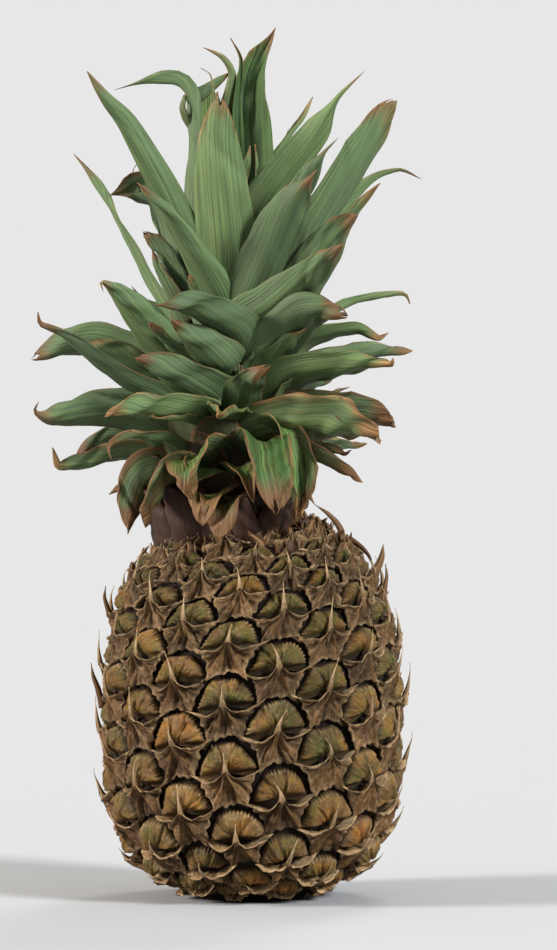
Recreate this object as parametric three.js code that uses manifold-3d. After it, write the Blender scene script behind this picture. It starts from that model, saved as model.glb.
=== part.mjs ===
// A whole pineapple, as picked: the fruit with its eyes, bracts and spines, the leafy crown, and the
// stub of cut stem in the base. Millimetres, +Z up, origin at the centre of the base it stands on.
import * as THREE from "three";
import Module from "manifold-3d";

const wasm = await Module();
wasm.setup();

// ---- driving dimensions ----
const FRUIT_RADIUS = 61.5; // over the crests of the eyes, at the widest girth
const GIRTH_Z = 72; // height of the widest girth
const SHOULDER_HEIGHT = 83; // from the girth to where the rounded top would close
const BASE_ROUNDNESS = 3.0; // exponents of the two halves of the outline
const SHOULDER_ROUNDNESS = 2.6;
const REST_RADIUS = 21; // the flat spot that the fruit stands on
const CROWN_SEAT_RADIUS = 22;
const CROWN_SEAT_Z = 151;

// The eyes follow one spiral, whose neighbours lie 7, 11 and 18 places on, as on the real fruit.
const EYE_COUNT = 178; // with a row at each end that only bounds the others
const EYE_STEPS = [7, 18, 11];
const FIRST_EYE_ANGLE = -6; // degrees
const FIRST_EYE_LENGTH = 11; // from the middle of the base, along the skin
const DIVERGENCE = 99.4; // degrees from one eye to the next at the base
const DIVERGENCE_DRIFT = 0.0075; // degrees gained by each eye on the last
const PITCH_LOW = 1.95; // climb along the skin per eye, at the base and at the top
const PITCH_HIGH = 0.9;
const NARROWING = 0.6; // how far the pitch follows the girth where the fruit narrows
const GROOVE_DEPTH = 5.5;
const SHOULDER_SHARE = 0.7; // an eye's shoulder ring, from its middle towards its corners
const SEPAL_LIFT = -2.2; // heights of the ring above and below the middle, and of the middle
const BRACT_LIFT = -0.9;
const CREST_LIFT = -0.2;
const SPINE_BASE = 2.0;
const SPINE_LENGTH = 10;
const SPINE_STANDOFF = 3.6;
const SPINE_WAIST = { width: 0.45, climb: 0.4, standoff: 0.8 }; // shares at the spine's middle ring
const SPINE_FREE = [28, 212]; // arc lengths between which the spines stand free
const SPINE_FADE = [20, 50]; // lengths over which they grow to full size from each of those
const SPINE_STUB = [0.2, 0.3]; // and the shares of it that they never fall below

const STEM_RADIUS = 14; // the cut stem in its pocket
const STEM_HEIGHT = 6;
const STEM_BEVEL = 1;
const FIT_GAP = 0.3;

const CROWN_LEAN = -7; // the crown's axis stands this far to the left of the fruit's
// The core of clasping leaf bases: height and radius.
const CROWN_CORE = [
  [151.4, 19], [157, 26], [168, 25], [182, 20.5], [198, 16], [216, 11.5], [232, 7], [243, 2],
];
const BLADE_THICKNESS = 1.3; // along the middle, thinning to the edges
const EXTRA_STEPS = 2; // a blade has this many lengths more than its points
const TIP_WIDTH = 1.2;
const CUP = 0.16; // depth of a blade's channel as a share of its width
const ROOT_DEPTH = 0.3; // a blade starts this far out from the core's axis, as a share of its radius
const SHEATH = { width: 1.3, share: 0.25 }; // a blade is this much wider at the root, over this share
const TAPER_POWER = 0.75;

// Leaves of the crown that are told apart: name, azimuth and height of the root, then the points that
// the middle of the blade passes through, its width, its roll about that line at the root and the
// further roll at the tip (degrees), and its fullness: 2 tapers evenly, 8 stays broad to a blunt end.
const LEAVES = [
  ["heart_tall", 80, 226, [[-1, 11, 272], [-1, 13, 305], [3, 15, 332], [9, 16, 355]], 19, 15, 10, 2.6],
  ["heart_slip", 110, 228, [[-6, 11, 284], [-6, 12, 321], [-5, 13, 340], [-9, 14, 351]], 8, 0, 20, 2.0],
  ["heart_broad", 262, 220,
    [[-10, -18, 261], [-13, -24, 287], [-15, -27, 304], [-15, -30, 318]], 25, -8, 10, 5.0],
  ["heart_hook", 160, 222,
    [[-25, 7, 281], [-24, 9, 310], [-28, 10, 331], [-41, 11, 333], [-57, 12, 330]], 13, -25, -40, 2.4],
  ["spear_left", 200, 220,
    [[-21, -12, 256], [-33, -18, 283], [-46, -24, 308], [-64, -30, 329]], 17, -50, 15, 2.2],
  ["ribbon_left", 225, 212,
    [[-12, -21, 240], [-23, -31, 259], [-34, -40, 275], [-45, -48, 286]], 22, -30, 10, 1.4],
  ["folded_left", 152, 210,
    [[-29, 13, 243], [-35, 17, 268], [-42, 21, 288], [-52, 23, 291], [-59, 24, 287]], 25, -70, 20, 3.2],
  ["lance_left", 160, 206,
    [[-31, 15, 241], [-51, 24, 268], [-64, 29, 290], [-75, 34, 306]], 10, -25, 0, 2.0],
  ["sliver_right", 45, 224, [[4, 17, 284], [10, 21, 303], [20, 24, 318], [25, 26, 329]], 11, 30, 0, 2.4],
  ["spear_right", 338, 222,
    [[-1, -12, 271], [12, -17, 291], [25, -20, 307], [35, -24, 320], [43, -26, 329]], 21, 58, 15, 2.2],
  ["inner_right", 322, 218,
    [[6, -23, 268], [17, -30, 286], [27, -35, 295], [33, -38, 301]], 13, 40, 0, 2.2],
  ["broad_right", 300, 212,
    [[-1, -22, 236], [7, -32, 256], [16, -43, 277], [26, -52, 291]], 28, 22, 10, 3.2],
  ["strap_right", 8, 214,
    [[14, 6, 244], [22, 10, 267], [32, 12, 287], [46, 16, 308], [56, 18, 325]], 20, 52, 5, 7.0],
  ["whip_right", 24, 212,
    [[22, 20, 255], [37, 29, 283], [50, 34, 297], [61, 37, 300], [69, 40, 297]], 11, 28, 0, 2.2],
  ["lance_right", 350, 208,
    [[19, -9, 245], [33, -12, 267], [42, -14, 279], [51, -16, 288]], 13, 36, 0, 2.0],
  ["blunt_right", 325, 204,
    [[19, -23, 232], [27, -29, 247], [35, -35, 261], [41, -40, 272]], 20, 45, 0, 6.0],
  ["front_right", 305, 206,
    [[-3, -27, 229], [8, -36, 237], [20, -46, 247], [36, -62, 261]], 25, 32, 10, 2.4],
  ["hook_left", 202, 196,
    [[-25, -17, 213], [-38, -25, 225], [-48, -33, 238], [-57, -39, 246], [-56, -40, 243]],
    23, -55, 10, 2.6],
  ["front_left", 228, 200,
    [[-3, -33, 225], [-10, -41, 231], [-21, -51, 237], [-38, -66, 237]], 23, -40, 0, 2.4],
  ["whip_left", 207, 184,
    [[-34, -22, 201], [-47, -29, 207], [-59, -35, 215], [-74, -43, 227], [-81, -46, 230], [-80, -48, 234]],
    13, -35, 0, 2.2],
  ["torn_left", 164, 190,
    [[-38, 14, 215], [-63, 20, 228], [-80, 23, 227], [-90, 26, 221]], 20, -45, -10, 6.0],
  ["shade_left", 190, 186,
    [[-31, -9, 202], [-45, -13, 212], [-56, -15, 220], [-68, -18, 223]], 21, -58, 0, 3.0],
  ["whip_high_right", 24, 200,
    [[15, 18, 231], [36, 26, 242], [44, 29, 246], [62, 34, 248], [65, 36, 244]], 13, 40, 0, 1.8],
  ["folded_right", 318, 194,
    [[1, -25, 214], [11, -34, 225], [22, -43, 234], [36, -52, 233]], 26, 36, 0, 6.0],
  ["curl_right", 352, 194,
    [[19, -9, 223], [31, -12, 228], [42, -13, 230], [51, -15, 226], [54, -16, 228]], 14, 42, 0, 2.4],
  ["lance_low_right", 16, 188,
    [[15, 15, 212], [34, 21, 220], [47, 24, 225], [66, 30, 223]], 20, 46, 0, 2.2],
  ["cup_right", 334, 184,
    [[13, -24, 209], [35, -35, 214], [46, -40, 215], [55, -45, 214], [56, -46, 217]], 22, 42, 0, 2.4],
  ["cup_front", 282, 182, [[-3, -44, 204], [2, -61, 209], [8, -64, 214]], 18, 10, 0, 4.0],
  ["spread_left", 199, 178,
    [[-31, -15, 187], [-48, -20, 193], [-65, -26, 196], [-82, -31, 194], [-86, -33, 197], [-82, -34, 199]],
    27, -70, 0, 2.4],
  ["curl_left", 220, 182,
    [[-20, -29, 196], [-39, -45, 199], [-48, -53, 199], [-55, -60, 195]], 18, -35, 0, 4.0],
  ["droop_left", 184, 170,
    [[-33, -2, 176], [-53, -3, 179], [-67, -3, 176], [-78, -4, 175], [-80, -4, 182]], 16, -38, 0, 2.6],
  ["bow_left", 158, 174, [[-43, 18, 185], [-59, 22, 189], [-68, 24, 186], [-74, 26, 179]], 18, -42, 0, 2.6],
  ["edge_left", 212, 172,
    [[-34, -30, 185], [-50, -41, 186], [-56, -45, 182], [-55, -48, 177]], 10, -22, 0, 3.0],
  ["stub_right", 24, 180, [[19, 19, 201], [32, 24, 204], [40, 26, 207]], 9, 30, 0, 2.4],
  ["paddle_right", 345, 176,
    [[7, -14, 196], [27, -20, 200], [43, -25, 200], [55, -30, 194]], 27, 42, 0, 8.0],
  ["paddle_low_right", 322, 170,
    [[1, -26, 186], [19, -38, 191], [37, -49, 190], [49, -58, 185]], 29, 46, 0, 8.0],
  ["claw_right", 350, 166, [[15, -9, 185], [29, -12, 182], [37, -13, 179], [40, -14, 181]], 13, 32, 0, 2.4],
  ["droop_right", 318, 164, [[15, -33, 182], [31, -42, 178], [42, -50, 171]], 19, 42, 0, 2.6],
  ["skirt_far_left", 190, 164,
    [[-41, -12, 175], [-48, -14, 171], [-52, -14, 161], [-53, -14, 150]], 22, -75, 0, 3.0],
  ["skirt_left", 212, 162, [[-31, -27, 171], [-36, -36, 165], [-40, -36, 152]], 24, -42, 0, 3.0],
  ["spike_left", 180, 162, [[-41, 0, 169], [-51, 0, 167], [-58, 0, 163]], 11, -50, 0, 2.0],
  ["spike_low_left", 184, 158, [[-41, -8, 163], [-47, -9, 156], [-50, -9, 147]], 11, -65, 0, 2.0],
  ["skirt_front_left", 236, 168, [[-21, -37, 178], [-23, -52, 173], [-23, -55, 161]], 22, -25, 0, 3.0],
  ["tab_left", 240, 160, [[-15, -40, 163], [-16, -57, 158], [-17, -59, 152]], 16, 0, 0, 3.0],
  ["tab_front", 252, 158, [[-11, -44, 159], [-12, -59, 153], [-14, -62, 148]], 17, 0, 0, 3.0],
  ["skirt_front", 268, 166, [[-5, -47, 174], [-1, -61, 169], [1, -64, 160]], 17, 0, 0, 3.0],
  ["apron_front", 290, 172, [[4, -47, 184], [7, -65, 173], [10, -67, 155]], 23, 12, 0, 7.0],
  ["skirt_right", 325, 168, [[18, -33, 185], [24, -45, 173], [21, -46, 156]], 18, 42, 0, 4.0],
];

// Leaves round the back of the crown, tier by tier from the foot: height of the roots, number,
// length, rise of the root and of the tip above the horizontal (degrees), width and fullness.
const BACK_TIERS = [
  [165, 5, 32, 0, -70, 18, 3.0],
  [171, 4, 52, 15, -42, 19, 3.0],
  [178, 5, 70, 25, -12, 19, 2.6],
  [188, 4, 78, 38, 12, 20, 2.4],
  [200, 4, 88, 52, 32, 19, 2.4],
  [211, 4, 110, 66, 50, 18, 2.4],
  [224, 3, 120, 80, 70, 17, 2.2],
];
const BACK_ARC = [36, 144]; // azimuths between which they stand
// Short leaves that close the front of the crown between the longer ones.
const FRONT_TIERS = [
  [173, 2, 40, 25, -40, 22, 3.0],
  [187, 3, 48, 38, -10, 22, 3.0],
  [201, 2, 54, 55, 25, 22, 2.6],
];
const FRONT_ARC = [215, 325];
const TIER_STEPS = 4; // straight lengths along which such a leaf's bend is worked out
const TIER_LENGTHS = [0.82, 1.15]; // shares of the tier's length that its leaves are drawn between
const TIER_SHIFT = 0.5; // of the space between two leaves
const TIER_SWEEP = 16; // degrees from root to tip, about the crown's axis
const TIER_ROLL = 50;
const TIER_TWIST = 20;
const SEED = 11;

const RAD = Math.PI / 180;
const mix = (a, b, t) => a + (b - a) * t;
const clamp = (v, low, high) => Math.min(Math.max(v, low), high);
// An angle in radians, brought within half a turn of another.
const nearestTurn = (angle, near) => angle - 2 * Math.PI * Math.round((angle - near) / (2 * Math.PI));

// A repeatable draw in 0..1 for the item at this place.
function draw(place) {
  const v = Math.sin((place + SEED) * 127.1) * 43758.5453;
  return v - Math.floor(v);
}

// ---- helpers for closed meshes ----
function geometryOf(points, triangles) {
  const geometry = new THREE.BufferGeometry();
  geometry.setAttribute("position", new THREE.Float32BufferAttribute(points.flat(), 3));
  geometry.setIndex(triangles.flat());
  return geometry;
}

function solidOf(points, triangles) {
  return new wasm.Manifold(
    new wasm.Mesh({
      numProp: 3,
      vertProperties: new Float32Array(points.flat()),
      triVerts: new Uint32Array(triangles.flat()),
    }),
  );
}

function geometryOfSolid(solid) {
  const mesh = solid.getMesh();
  const geometry = new THREE.BufferGeometry();
  geometry.setAttribute("position", new THREE.BufferAttribute(mesh.vertProperties, 3));
  geometry.setIndex(new THREE.BufferAttribute(mesh.triVerts, 1));
  return geometry;
}

// Rings of equal length, joined in turn and closed at both ends.
function loft(rings) {
  const points = rings.flat();
  const sides = rings[0].length;
  const triangles = [];
  for (let ring = 0; ring + 1 < rings.length; ring++)
    for (let i = 0; i < sides; i++) {
      const a = ring * sides + i;
      const b = ring * sides + ((i + 1) % sides);
      triangles.push([a, b, b + sides], [a, b + sides, a + sides]);
    }
  const last = (rings.length - 1) * sides;
  for (let i = 1; i + 1 < sides; i++) {
    triangles.push([0, i + 1, i]);
    triangles.push([last, last + i, last + i + 1]);
  }
  return { points, triangles };
}

// ---- the fruit ----
// The outline from base to top as a table of arc length, radius and height.
function outline() {
  const rows = [];
  const steps = 400;
  let length = 0;
  for (let i = 0; i <= steps; i++) {
    const turn = mix(-Math.PI / 2, Math.PI / 2, i / steps);
    const low = turn < 0;
    const power = 2 / (low ? BASE_ROUNDNESS : SHOULDER_ROUNDNESS);
    const height = low ? GIRTH_Z : SHOULDER_HEIGHT;
    const radius = FRUIT_RADIUS * Math.cos(turn) ** power;
    const z = GIRTH_Z + Math.sign(turn) * height * Math.abs(Math.sin(turn)) ** power;
    if (i) length += Math.hypot(radius - rows[i - 1][1], z - rows[i - 1][2]);
    rows.push([length, radius, z]);
  }
  return rows;
}
const OUTLINE = outline();
const WHOLE_LENGTH = OUTLINE[OUTLINE.length - 1][0];

// The skin at an angle (radians, 0 towards the viewer, growing to the right), an arc length up the
// outline and a height above the crests.
function skin(angle, length, lift) {
  const at = clamp(length, 0, WHOLE_LENGTH - 1e-6);
  const i = OUTLINE.findIndex((row) => row[0] > at);
  const [l0, r0, z0] = OUTLINE[i - 1];
  const [l1, r1, z1] = OUTLINE[i];
  const t = (at - l0) / (l1 - l0);
  const out = (z1 - z0) / (l1 - l0);
  const up = -(r1 - r0) / (l1 - l0);
  const radius = mix(r0, r1, t) + out * lift;
  return [radius * Math.sin(angle), -radius * Math.cos(angle), mix(z0, z1, t) + up * lift];
}

const radiusAt = (length) => Math.hypot(...skin(0, length, 0).slice(0, 2));

// Angle and arc length of every eye, from the base up. The first and last rows only bound the others.
function eyePlaces() {
  const places = [];
  let angle = FIRST_EYE_ANGLE;
  let length = FIRST_EYE_LENGTH;
  for (let k = 0; k < EYE_COUNT; k++) {
    places.push([angle * RAD, length]);
    angle += DIVERGENCE + DIVERGENCE_DRIFT * k;
    const girth = (radiusAt(length) / FRUIT_RADIUS) ** NARROWING;
    length += mix(PITCH_LOW, PITCH_HIGH, length / WHOLE_LENGTH) * girth;
  }
  return places;
}

// One eye fills the cell between six corners that it shares with its neighbours in the grooves. Its
// shoulder ring stands near the crest, and the bract in its middle runs out into an upward spine.
function fruitGeometry() {
  const places = eyePlaces();
  const [side, row, otherSide] = EYE_STEPS;
  const points = [];
  const triangles = [];
  const corners = new Map();
  const add = (point) => points.push(point) - 1;

  // The corner between an eye, the one beside it and the one above both.
  function corner(eye, beside) {
    const key = `${eye} ${beside}`;
    if (!corners.has(key)) {
      const three = [eye, eye + beside, eye + row].map((k) => places[k]);
      const angles = three.map(([angle]) => nearestTurn(angle, three[0][0]));
      const at = [(angles[0] + angles[1] + angles[2]) / 3, (three[0][1] + three[1][1] + three[2][1]) / 3];
      corners.set(key, { at, index: add(skin(...at, -GROOVE_DEPTH)) });
    }
    return corners.get(key);
  }

  function cell(k) {
    const [angle, length] = places[k];
    const around = [
      corner(k, side), corner(k - otherSide, otherSide), corner(k - row, side),
      corner(k - row, otherSide), corner(k - side, side), corner(k, otherSide),
    ];
    const girth = radiusAt(length);
    const offsets = around.map(({ at }) => [(nearestTurn(at[0], angle) - angle) * girth, at[1] - length]);
    const spot = ([across, up], lift) => add(skin(angle + across / girth, length + up, lift));
    const ring = offsets.map(([across, up]) =>
      spot([across * SHOULDER_SHARE, up * SHOULDER_SHARE], up > 0 ? SEPAL_LIFT : BRACT_LIFT),
    );
    const bearing = [0, 2, 4].map((i) => {
      const across = offsets[i][0] + offsets[i + 1][0];
      const up = offsets[i][1] + offsets[i + 1][1];
      const size = SPINE_BASE / Math.hypot(across, up);
      return [across * size, up * size];
    });
    const reach =
      clamp((length - SPINE_FREE[0]) / SPINE_FADE[0], SPINE_STUB[0], 1) *
      clamp((SPINE_FREE[1] - length) / SPINE_FADE[1], SPINE_STUB[1], 1);
    const climb = SPINE_LENGTH * reach;
    const standoff = SPINE_STANDOFF * reach;
    const hub = bearing.map((offset) => spot(offset, CREST_LIFT));
    const waist = bearing.map(([across, up]) =>
      spot(
        [across * SPINE_WAIST.width, up * SPINE_WAIST.width + climb * SPINE_WAIST.climb],
        standoff * SPINE_WAIST.standoff,
      ),
    );
    const tip = spot([0, climb], standoff);
    for (let i = 0; i < 6; i++) {
      const next = (i + 1) % 6;
      const foot = hub[i >> 1];
      triangles.push([around[i].index, around[next].index, ring[next]]);
      triangles.push([around[i].index, ring[next], ring[i]]);
      triangles.push([ring[i], ring[next], foot]);
      if (i % 2) triangles.push([foot, ring[next], hub[next >> 1]]);
    }
    for (let i = 0; i < 3; i++) {
      const next = (i + 1) % 3;
      triangles.push([hub[i], hub[next], waist[next]], [hub[i], waist[next], waist[i]]);
      triangles.push([waist[i], waist[next], tip]);
    }
  }

  for (let k = row; k < EYE_COUNT - row; k++) cell(k);
  closeEnds(points, triangles);
  return geometryOf(points, triangles);
}

// Closes the open rim at each end of the skin by rings at the rim's own azimuths and a point on the axis.
function closeEnds(points, triangles) {
  const pocket = STEM_RADIUS + FIT_GAP;
  const roof = STEM_HEIGHT + FIT_GAP;
  const ends = {
    base: { rings: [[REST_RADIUS, 0], [pocket, 0], [pocket, roof]], z: roof, made: new Map() },
    top: { rings: [[CROWN_SEAT_RADIUS, CROWN_SEAT_Z]], z: CROWN_SEAT_Z, made: new Map() },
  };
  for (const end of Object.values(ends)) end.apex = points.push([0, 0, end.z]) - 1;
  const edges = new Set(triangles.flatMap(([a, b, c]) => [`${a} ${b}`, `${b} ${c}`, `${c} ${a}`]));
  const pairs = [...edges].map((edge) => edge.split(" ").map(Number));
  const open = pairs.filter(([a, b]) => !edges.has(`${b} ${a}`));

  // The rim point and those below it on the rings.
  function ladder(end, rim) {
    if (!end.made.has(rim)) {
      const azimuth = Math.atan2(points[rim][1], points[rim][0]);
      const rungs = end.rings.map(
        ([radius, z]) => points.push([radius * Math.cos(azimuth), radius * Math.sin(azimuth), z]) - 1,
      );
      end.made.set(rim, [rim, ...rungs]);
    }
    return end.made.get(rim);
  }

  for (const [a, b] of open) {
    const end = points[a][2] < GIRTH_Z ? ends.base : ends.top;
    const from = ladder(end, b);
    const to = ladder(end, a);
    for (let i = 0; i + 1 < from.length; i++)
      triangles.push([from[i], to[i], to[i + 1]], [from[i], to[i + 1], from[i + 1]]);
    triangles.push([from[from.length - 1], to[to.length - 1], end.apex]);
  }
}

// ---- the crown ----
// Radius of the crown's core at a height.
function coreRadius(z) {
  const i = clamp(CROWN_CORE.findIndex((row) => row[0] > z), 1, CROWN_CORE.length - 1);
  const [z0, r0] = CROWN_CORE[i - 1];
  const [z1, r1] = CROWN_CORE[i];
  return mix(r0, r1, clamp((z - z0) / (z1 - z0), 0, 1));
}

function onCore(azimuth, z, share) {
  const radius = coreRadius(z) * share;
  return [CROWN_LEAN + radius * Math.cos(azimuth * RAD), radius * Math.sin(azimuth * RAD), z];
}

// A blade: a shallow channel along a smooth curve from its root in the core, turned about that curve.
function blade([, azimuth, z, places, width, roll, twist, fullness]) {
  const through = [onCore(azimuth, z, ROOT_DEPTH), ...places].map((place) => new THREE.Vector3(...place));
  const curve = new THREE.CatmullRomCurve3(through, false, "catmullrom", 0.5);
  const steps = through.length - 1 + EXTRA_STEPS;
  const middles = curve.getPoints(steps);
  const lengths = [0];
  for (let i = 1; i <= steps; i++) lengths.push(lengths[i - 1] + middles[i].distanceTo(middles[i - 1]));
  const around = new THREE.Vector3(-Math.sin(azimuth * RAD), Math.cos(azimuth * RAD), 0);
  const rings = middles.map((middle, i) => {
    const share = lengths[i] / lengths[steps];
    const along = new THREE.Vector3()
      .subVectors(middles[Math.min(i + 1, steps)], middles[Math.max(i - 1, 0)])
      .normalize();
    const across = around.clone().addScaledVector(along, -around.dot(along)).normalize();
    across.applyAxisAngle(along, -(roll + twist * share) * RAD);
    const face = new THREE.Vector3().crossVectors(along, across);
    const half = bladeWidth(share, width, fullness) / 2;
    const corner = (side, lift) =>
      middle.clone().addScaledVector(across, side * half).addScaledVector(face, lift).toArray();
    const edge = 2 * half * CUP;
    const thick = BLADE_THICKNESS / 2;
    return [corner(1, edge), corner(0, thick), corner(-1, edge), corner(0, -thick)];
  });
  return loft(rings);
}

// Broad at the sheath, then even, then drawn in to the tip.
function bladeWidth(share, width, fullness) {
  const sheath = mix(SHEATH.width, 1, clamp(share / SHEATH.share, 0, 1));
  return Math.max(width * sheath * (1 - share ** fullness) ** TAPER_POWER, TIP_WIDTH);
}

// Tiers of leaves spread over an arc, each bending evenly from its rise at the root to that at the tip.
function tierLeaves(tiers, [from, to], seat) {
  const about = (range, place) => range * (draw(place) - 0.5);
  return tiers.flatMap(([z, count, length, rootRise, tipRise, width, fullness], tier) =>
    Array.from({ length: count }, (_, i) => {
      const place = seat + tier * 20 + i * 4;
      const azimuth = mix(from, to, (i + 0.5 + about(TIER_SHIFT, place)) / count);
      const step = (length * mix(...TIER_LENGTHS, draw(place + 1))) / TIER_STEPS;
      const sweep = about(TIER_SWEEP, place + 2);
      const middles = [];
      let at = onCore(azimuth, z, 0.9);
      for (let n = 1; n <= TIER_STEPS; n++) {
        const rise = mix(rootRise, tipRise, n / TIER_STEPS) * RAD;
        const bearing = (azimuth + sweep * (n / TIER_STEPS)) * RAD;
        at = [
          at[0] + step * Math.cos(rise) * Math.cos(bearing),
          at[1] + step * Math.cos(rise) * Math.sin(bearing),
          at[2] + step * Math.sin(rise),
        ];
        middles.push(at);
      }
      const roll = about(TIER_ROLL, place + 3);
      return ["tier", azimuth, z, [middles[1], middles[3]], width, roll, TIER_TWIST, fullness];
    }),
  );
}

function crownGeometry() {
  const sides = 14;
  const core = loft(
    CROWN_CORE.map(([z, radius]) =>
      Array.from({ length: sides }, (_, i) => {
        const azimuth = (i / sides) * 2 * Math.PI;
        return [CROWN_LEAN + radius * Math.cos(azimuth), radius * Math.sin(azimuth), z];
      }),
    ),
  );
  const back = tierLeaves(BACK_TIERS, BACK_ARC, 0);
  const front = tierLeaves(FRONT_TIERS, FRONT_ARC, 300);
  let crown = solidOf(core.points, core.triangles);
  for (const leaf of [...LEAVES, ...back, ...front]) {
    const { points, triangles } = blade(leaf);
    crown = crown.add(solidOf(points, triangles));
  }
  const bodies = crown.decompose().sort((a, b) => b.volume() - a.volume());
  return geometryOfSolid(bodies[0]); // without the sealed hollows between blades
}

// ---- the cut stem ----
function stemGeometry() {
  const sides = 20;
  const edge = [STEM_RADIUS, STEM_HEIGHT - STEM_BEVEL];
  const top = [STEM_RADIUS - STEM_BEVEL, STEM_HEIGHT];
  const rings = [[STEM_RADIUS, 0], edge, top].map(([radius, z]) =>
    Array.from({ length: sides }, (_, i) => {
      const azimuth = (i / sides) * 2 * Math.PI;
      return [radius * Math.cos(azimuth), radius * Math.sin(azimuth), z];
    }),
  );
  const { points, triangles } = loft(rings);
  return geometryOf(points, triangles);
}

// ---- the whole ----
function piece(name, geometry, color, roughness) {
  const material = new THREE.MeshStandardMaterial({ color, roughness, metalness: 0, flatShading: true });
  const mesh = new THREE.Mesh(geometry, material);
  mesh.name = name;
  return mesh;
}

const pineapple = new THREE.Group();
pineapple.add(
  piece("fruit", fruitGeometry(), "#7d5a2c", 0.7),
  piece("crown", crownGeometry(), "#5f6f45", 0.75),
  piece("cut_stem", stemGeometry(), "#b59a68", 0.85),
);

export default pineapple;
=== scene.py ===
"""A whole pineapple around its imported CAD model: the fruit's eyes with their sepals, bracts and spines, the
leafy crown, the cut stem, and the floor, lights and camera. Lengths here are millimetres, and each mesh is
made in metres. Azimuths are degrees about +Z, 0 to the right of the viewer and 270 towards them."""
import math

import bpy
import numpy as np
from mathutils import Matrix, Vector


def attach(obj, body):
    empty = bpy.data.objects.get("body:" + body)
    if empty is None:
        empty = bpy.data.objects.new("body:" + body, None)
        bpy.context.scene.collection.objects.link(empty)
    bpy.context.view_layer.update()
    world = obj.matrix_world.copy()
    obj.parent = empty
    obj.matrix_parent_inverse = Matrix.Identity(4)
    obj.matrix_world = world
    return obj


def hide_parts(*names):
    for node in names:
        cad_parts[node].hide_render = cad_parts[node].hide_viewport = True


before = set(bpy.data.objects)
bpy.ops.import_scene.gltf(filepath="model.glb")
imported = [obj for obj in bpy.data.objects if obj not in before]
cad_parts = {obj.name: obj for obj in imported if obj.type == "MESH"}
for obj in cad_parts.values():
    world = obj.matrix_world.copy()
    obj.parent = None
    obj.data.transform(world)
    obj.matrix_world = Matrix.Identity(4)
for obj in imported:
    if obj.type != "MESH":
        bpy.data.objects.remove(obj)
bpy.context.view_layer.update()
rng = np.random.default_rng(23)
MM = 0.001

# ---- driving dimensions, the same as in the CAD part ----
FRUIT_RADIUS = 61.5  # over the crests of the eyes
GIRTH_Z = 72
SHOULDER_HEIGHT = 83  # from the girth to where the rounded top would close
BASE_ROUNDNESS = 3.0
SHOULDER_ROUNDNESS = 2.6
REST_RADIUS = 21
CROWN_SEAT_RADIUS = 22
CROWN_SEAT_Z = 151
STEM_POCKET = (14.3, 6.3)  # radius and height: the cut stem's and its gap

EYE_COUNT = 178
FIRST_EYE_ANGLE = -6  # degrees
FIRST_EYE_LENGTH = 11  # from the middle of the base, along the skin
DIVERGENCE = 99.4  # degrees from one eye to the next, and what each eye adds to it
DIVERGENCE_DRIFT = 0.0075
PITCH_LOW = 1.95  # climb along the skin per eye, at the base and at the top
PITCH_HIGH = 0.9
NARROWING = 0.6  # how far the pitch follows the girth
GROOVE_DEPTH = 5.5
SPINE_LENGTH = 10
SPINE_STANDOFF = 3.6
SPINE_FREE = (28, 212)  # lengths up the skin between which the spines stand free
SPINE_FADE = (20, 50)  # over which they grow to full size from each of those
SPINE_STUB = (0.2, 0.3)  # and the shares of it that they never fall below
# The three eyes, counted on from this one, that meet at each corner of its cell, from the upper left
# round by the left, the bottom, the lower right and the right to the top.
CELL_CORNERS = ((0, 7, 18), (-11, 0, 7), (-18, -11, 0), (-18, -7, 0), (-7, 0, 11), (0, 11, 18))
BOUNDING_EYES = 18  # at each end, with no cell of their own
LEFT, RIGHT, AROUND = 1, 4, 6  # corners where the bract's wings end, and corners in all

CROWN_LEAN = -7  # x of the crown's axis
CROWN_CORE = ((151.4, 19), (157, 26), (168, 25), (182, 20.5), (198, 16), (216, 11.5), (232, 7), (243, 2))
ROOT_DEPTH = 0.3  # a leaf starts this far out, as a share of the core's radius
SHEATH_WIDTH = 1.3  # times as wide at the root, over this share of its length
SHEATH_SHARE = 0.25
TAPER_POWER = 0.75

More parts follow.
